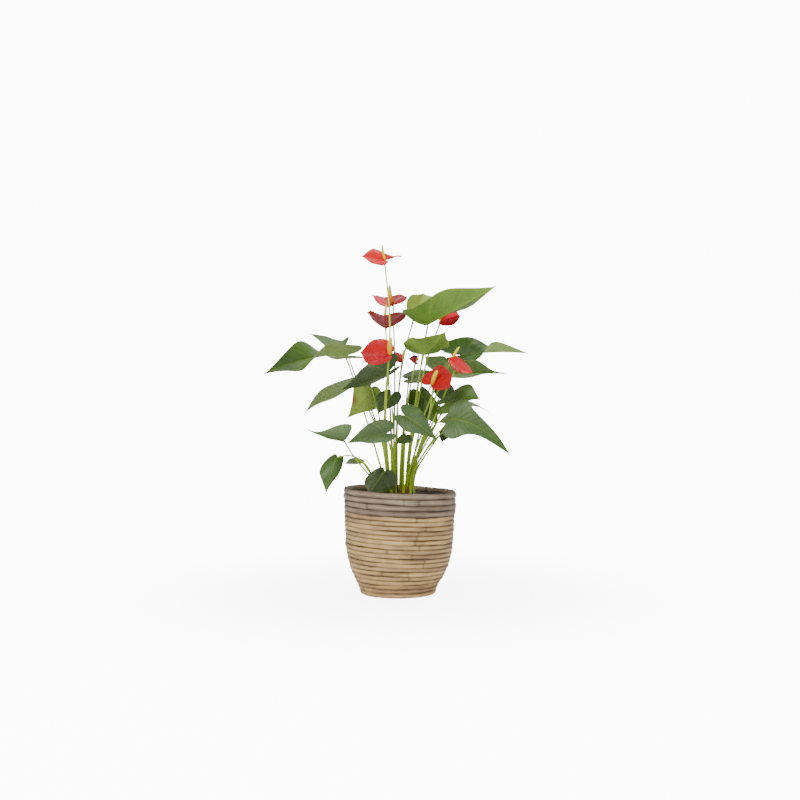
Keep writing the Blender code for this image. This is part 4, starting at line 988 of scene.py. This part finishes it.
# dry sheaths round the crown, each a pointed wrap on one side of a stem
bag = Bag()
for x0, y0, h, lean_x, wide in ((-14, -20, 26, -5, 4.4), (16, -22, 24, 3, 4.8), (5, -26, 20, 1, 4.0), (-24, -8, 18, -5, 3.6), (24, 4, 20, 6, 3.8), (-6, 24, 22, -2, 4.2), (14, 22, 17, 3, 3.6), (-2, -12, 28, 1, 4.0)):
    m, q = 14, 10
    u = np.linspace(0, 1, m)
    fan = np.linspace(-1.9, 1.9, q)
    face = math.atan2(y0, x0)
    taper = wide * MM * (1 - u ** 1.6) + .0002
    cx = (x0 + lean_x * u) * MM
    cy = np.full(m, y0) * MM
    z = soil_height(x0 * MM, y0 * MM) - .002 + h * MM * u
    ang = face + fan[None] * (1 - .25 * u[:, None])
    v = np.stack([cx[:, None] + taper[:, None] * np.cos(ang) * .8, cy[:, None] + taper[:, None] * np.sin(ang) * .8, np.broadcast_to(z[:, None], ang.shape)], -1)
    inner = v - np.stack([np.cos(ang), np.sin(ang), np.zeros_like(ang)], -1) * .0004
    allv = np.vstack([v.reshape(-1, 3), inner.reshape(-1, 3)])
    idx = np.arange(m * q).reshape(m, q)
    A, B, C, D = idx[:-1, :-1], idx[:-1, 1:], idx[1:, 1:], idx[1:, :-1]
    fo = np.stack([A, B, C, D], -1).reshape(-1, 4)
    fi = fo[:, ::-1] + m * q
    loop = np.concatenate([idx[0], idx[1:, -1], idx[-1, -2::-1], idx[-2:0:-1, 0]])
    rim = [(loop[i], loop[i] + m * q, loop[(i + 1) % len(loop)] + m * q, loop[(i + 1) % len(loop)]) for i in range(len(loop))]
    bag.add(allv, fo.tolist() + fi.tolist() + rim, 0, {"along": np.tile(np.repeat(u, q), 2)})
placed(bag.object("stem_sheaths", [SHEATH], 60), "stem_green")

# a furled young shoot, and the hooked stub of an old stem
for name, pts, r0, r1, tone in (("young_shoot", [(-8, -28, 186), (-24, -34, 214), (-44, -44, 238), (-62, -52, 262)], 1.6, .5, (170, 150, 90)),
                                ("old_stub", [(10, -30, 186), (16, -34, 222), (30, -36, 256), (37, -36, 266), (42, -36, 262)], 1.5, .7, (110, 84, 48))):
    path = smooth_path(np.array(pts, float) * MM, 26)
    s = np.linspace(0, 1, 26)
    rad = (r0 + (r1 - r0) * s) * MM * (1 + (.9 * np.exp(-((s - .93) / .05) ** 2) if name == "young_shoot" else 0 * s))
    v, f, al = tube_mesh(path, rad, 12)
    tint = stem_tint(al, v[:, 2])
    k = (np.clip((al - .7) / .3, 0, 1))[:, None]
    tint = tint * (1 - k) + np.array(lin(tone)) * k
    bag = Bag()
    bag.add(v, f, 0, {"along": al}, {"tint": tint})
    placed(bag.object(name, [STEM]), "stem_green")

# ---------------------------------------------------------------- studio

WORLD, KEY, FILL, TOP, BACK, GLOW = 0.55, 50, 12, 28, 20, 11.0

def studio_floor():
    k = Nodes("studio_floor")
    color = k.mix(k.ramp(k.noise(3, 2), .3, .7), (.86, .865, .87), (.88, .885, .89))
    mat = k.out(color, .6, k.bump(k.noise(220, 2), .05, .0003))
    # an overlit white sweep: bright to look at, but it doesn't flood the plant
    seen = k.n("ShaderNodeLightPath").outputs["Is Camera Ray"]
    k.bsdf.inputs["Emission Color"].default_value = (.985, .992, 1, 1)
    place = k.n("ShaderNodeVectorMath", operation="LENGTH", inputs={0: k.n("ShaderNodeTexCoord").outputs["Object"]}).outputs["Value"]
    # the glow is fainter close to the pot: a painted shadow round its foot
    near = k.ramp(place, .08, .75, .62, 1.0)
    k.tree.links.new(k.math("MULTIPLY", k.math("MULTIPLY", seen, near), GLOW), k.bsdf.inputs["Emission Strength"])
    return mat


prof = [(-3.2, 0), (2.2, 0)] + [(2.2 + 1.2 * math.sin(a), 1.2 - 1.2 * math.cos(a)) for a in np.linspace(.05, math.pi / 2, 24)] + [(3.4, 5.0)]
v = [(x, y, z) for y, z in prof for x in (-6.0, 6.0)]
f = [(2 * i, 2 * i + 1, 2 * i + 3, 2 * i + 2) for i in range(len(prof) - 1)]
floor = build("studio_sweep", np.array(v), f, [studio_floor()], smooth=60)

world = bpy.data.worlds.new("studio_world")
bpy.context.scene.world = world
world.use_nodes = True
world.node_tree.nodes["Background"].inputs["Color"].default_value = (.96, .975, 1.0, 1)
# soft light from all round; seen directly, it is as white as the sweep
wt = world.node_tree
path_node = wt.nodes.new("ShaderNodeLightPath")
level = wt.nodes.new("ShaderNodeMapRange")
level.inputs["To Min"].default_value = WORLD
level.inputs["To Max"].default_value = GLOW + .9
wt.links.new(path_node.outputs["Is Camera Ray"], level.inputs["Value"])
wt.links.new(level.outputs[0], wt.nodes["Background"].inputs["Strength"])


def area(name, loc, target, size, power, color=(1, 1, 1)):
    d = bpy.data.lights.new(name, "AREA")
    d.shape = "RECTANGLE"
    d.size, d.size_y = size
    d.energy = power
    d.color = color
    ob = bpy.data.objects.new(name, d)
    ob.location = loc
    ob.rotation_euler = (Vector(target) - Vector(loc)).to_track_quat("-Z", "Y").to_euler()
    bpy.context.scene.collection.objects.link(ob)
    return ob


area("key_light", (-1.3, -1.9, 1.9), (0, 0, .35), (1.1, 1.1), KEY, (1, .985, .96))
area("fill_light", (1.7, -1.6, 1.0), (0, 0, .35), (1.2, 1.2), FILL, (.96, .98, 1))
area("top_light", (0, .3, 2.2), (0, 0, .3), (1.6, 1.6), TOP)
area("back_light", (.6, 1.7, 1.8), (0, 3.2, 1.0), (2.4, 1.2), BACK)

cam = bpy.data.cameras.new("camera")
cam.lens = 50
cam.sensor_width = 36
cam_ob = bpy.data.objects.new("camera", cam)
cam_ob.location = (0.004, -2.1555, 0.373)
cam_ob.rotation_euler = (math.pi / 2, 0, 0)
bpy.context.scene.collection.objects.link(cam_ob)
bpy.context.scene.camera = cam_ob

bpy.context.view_layer.update()
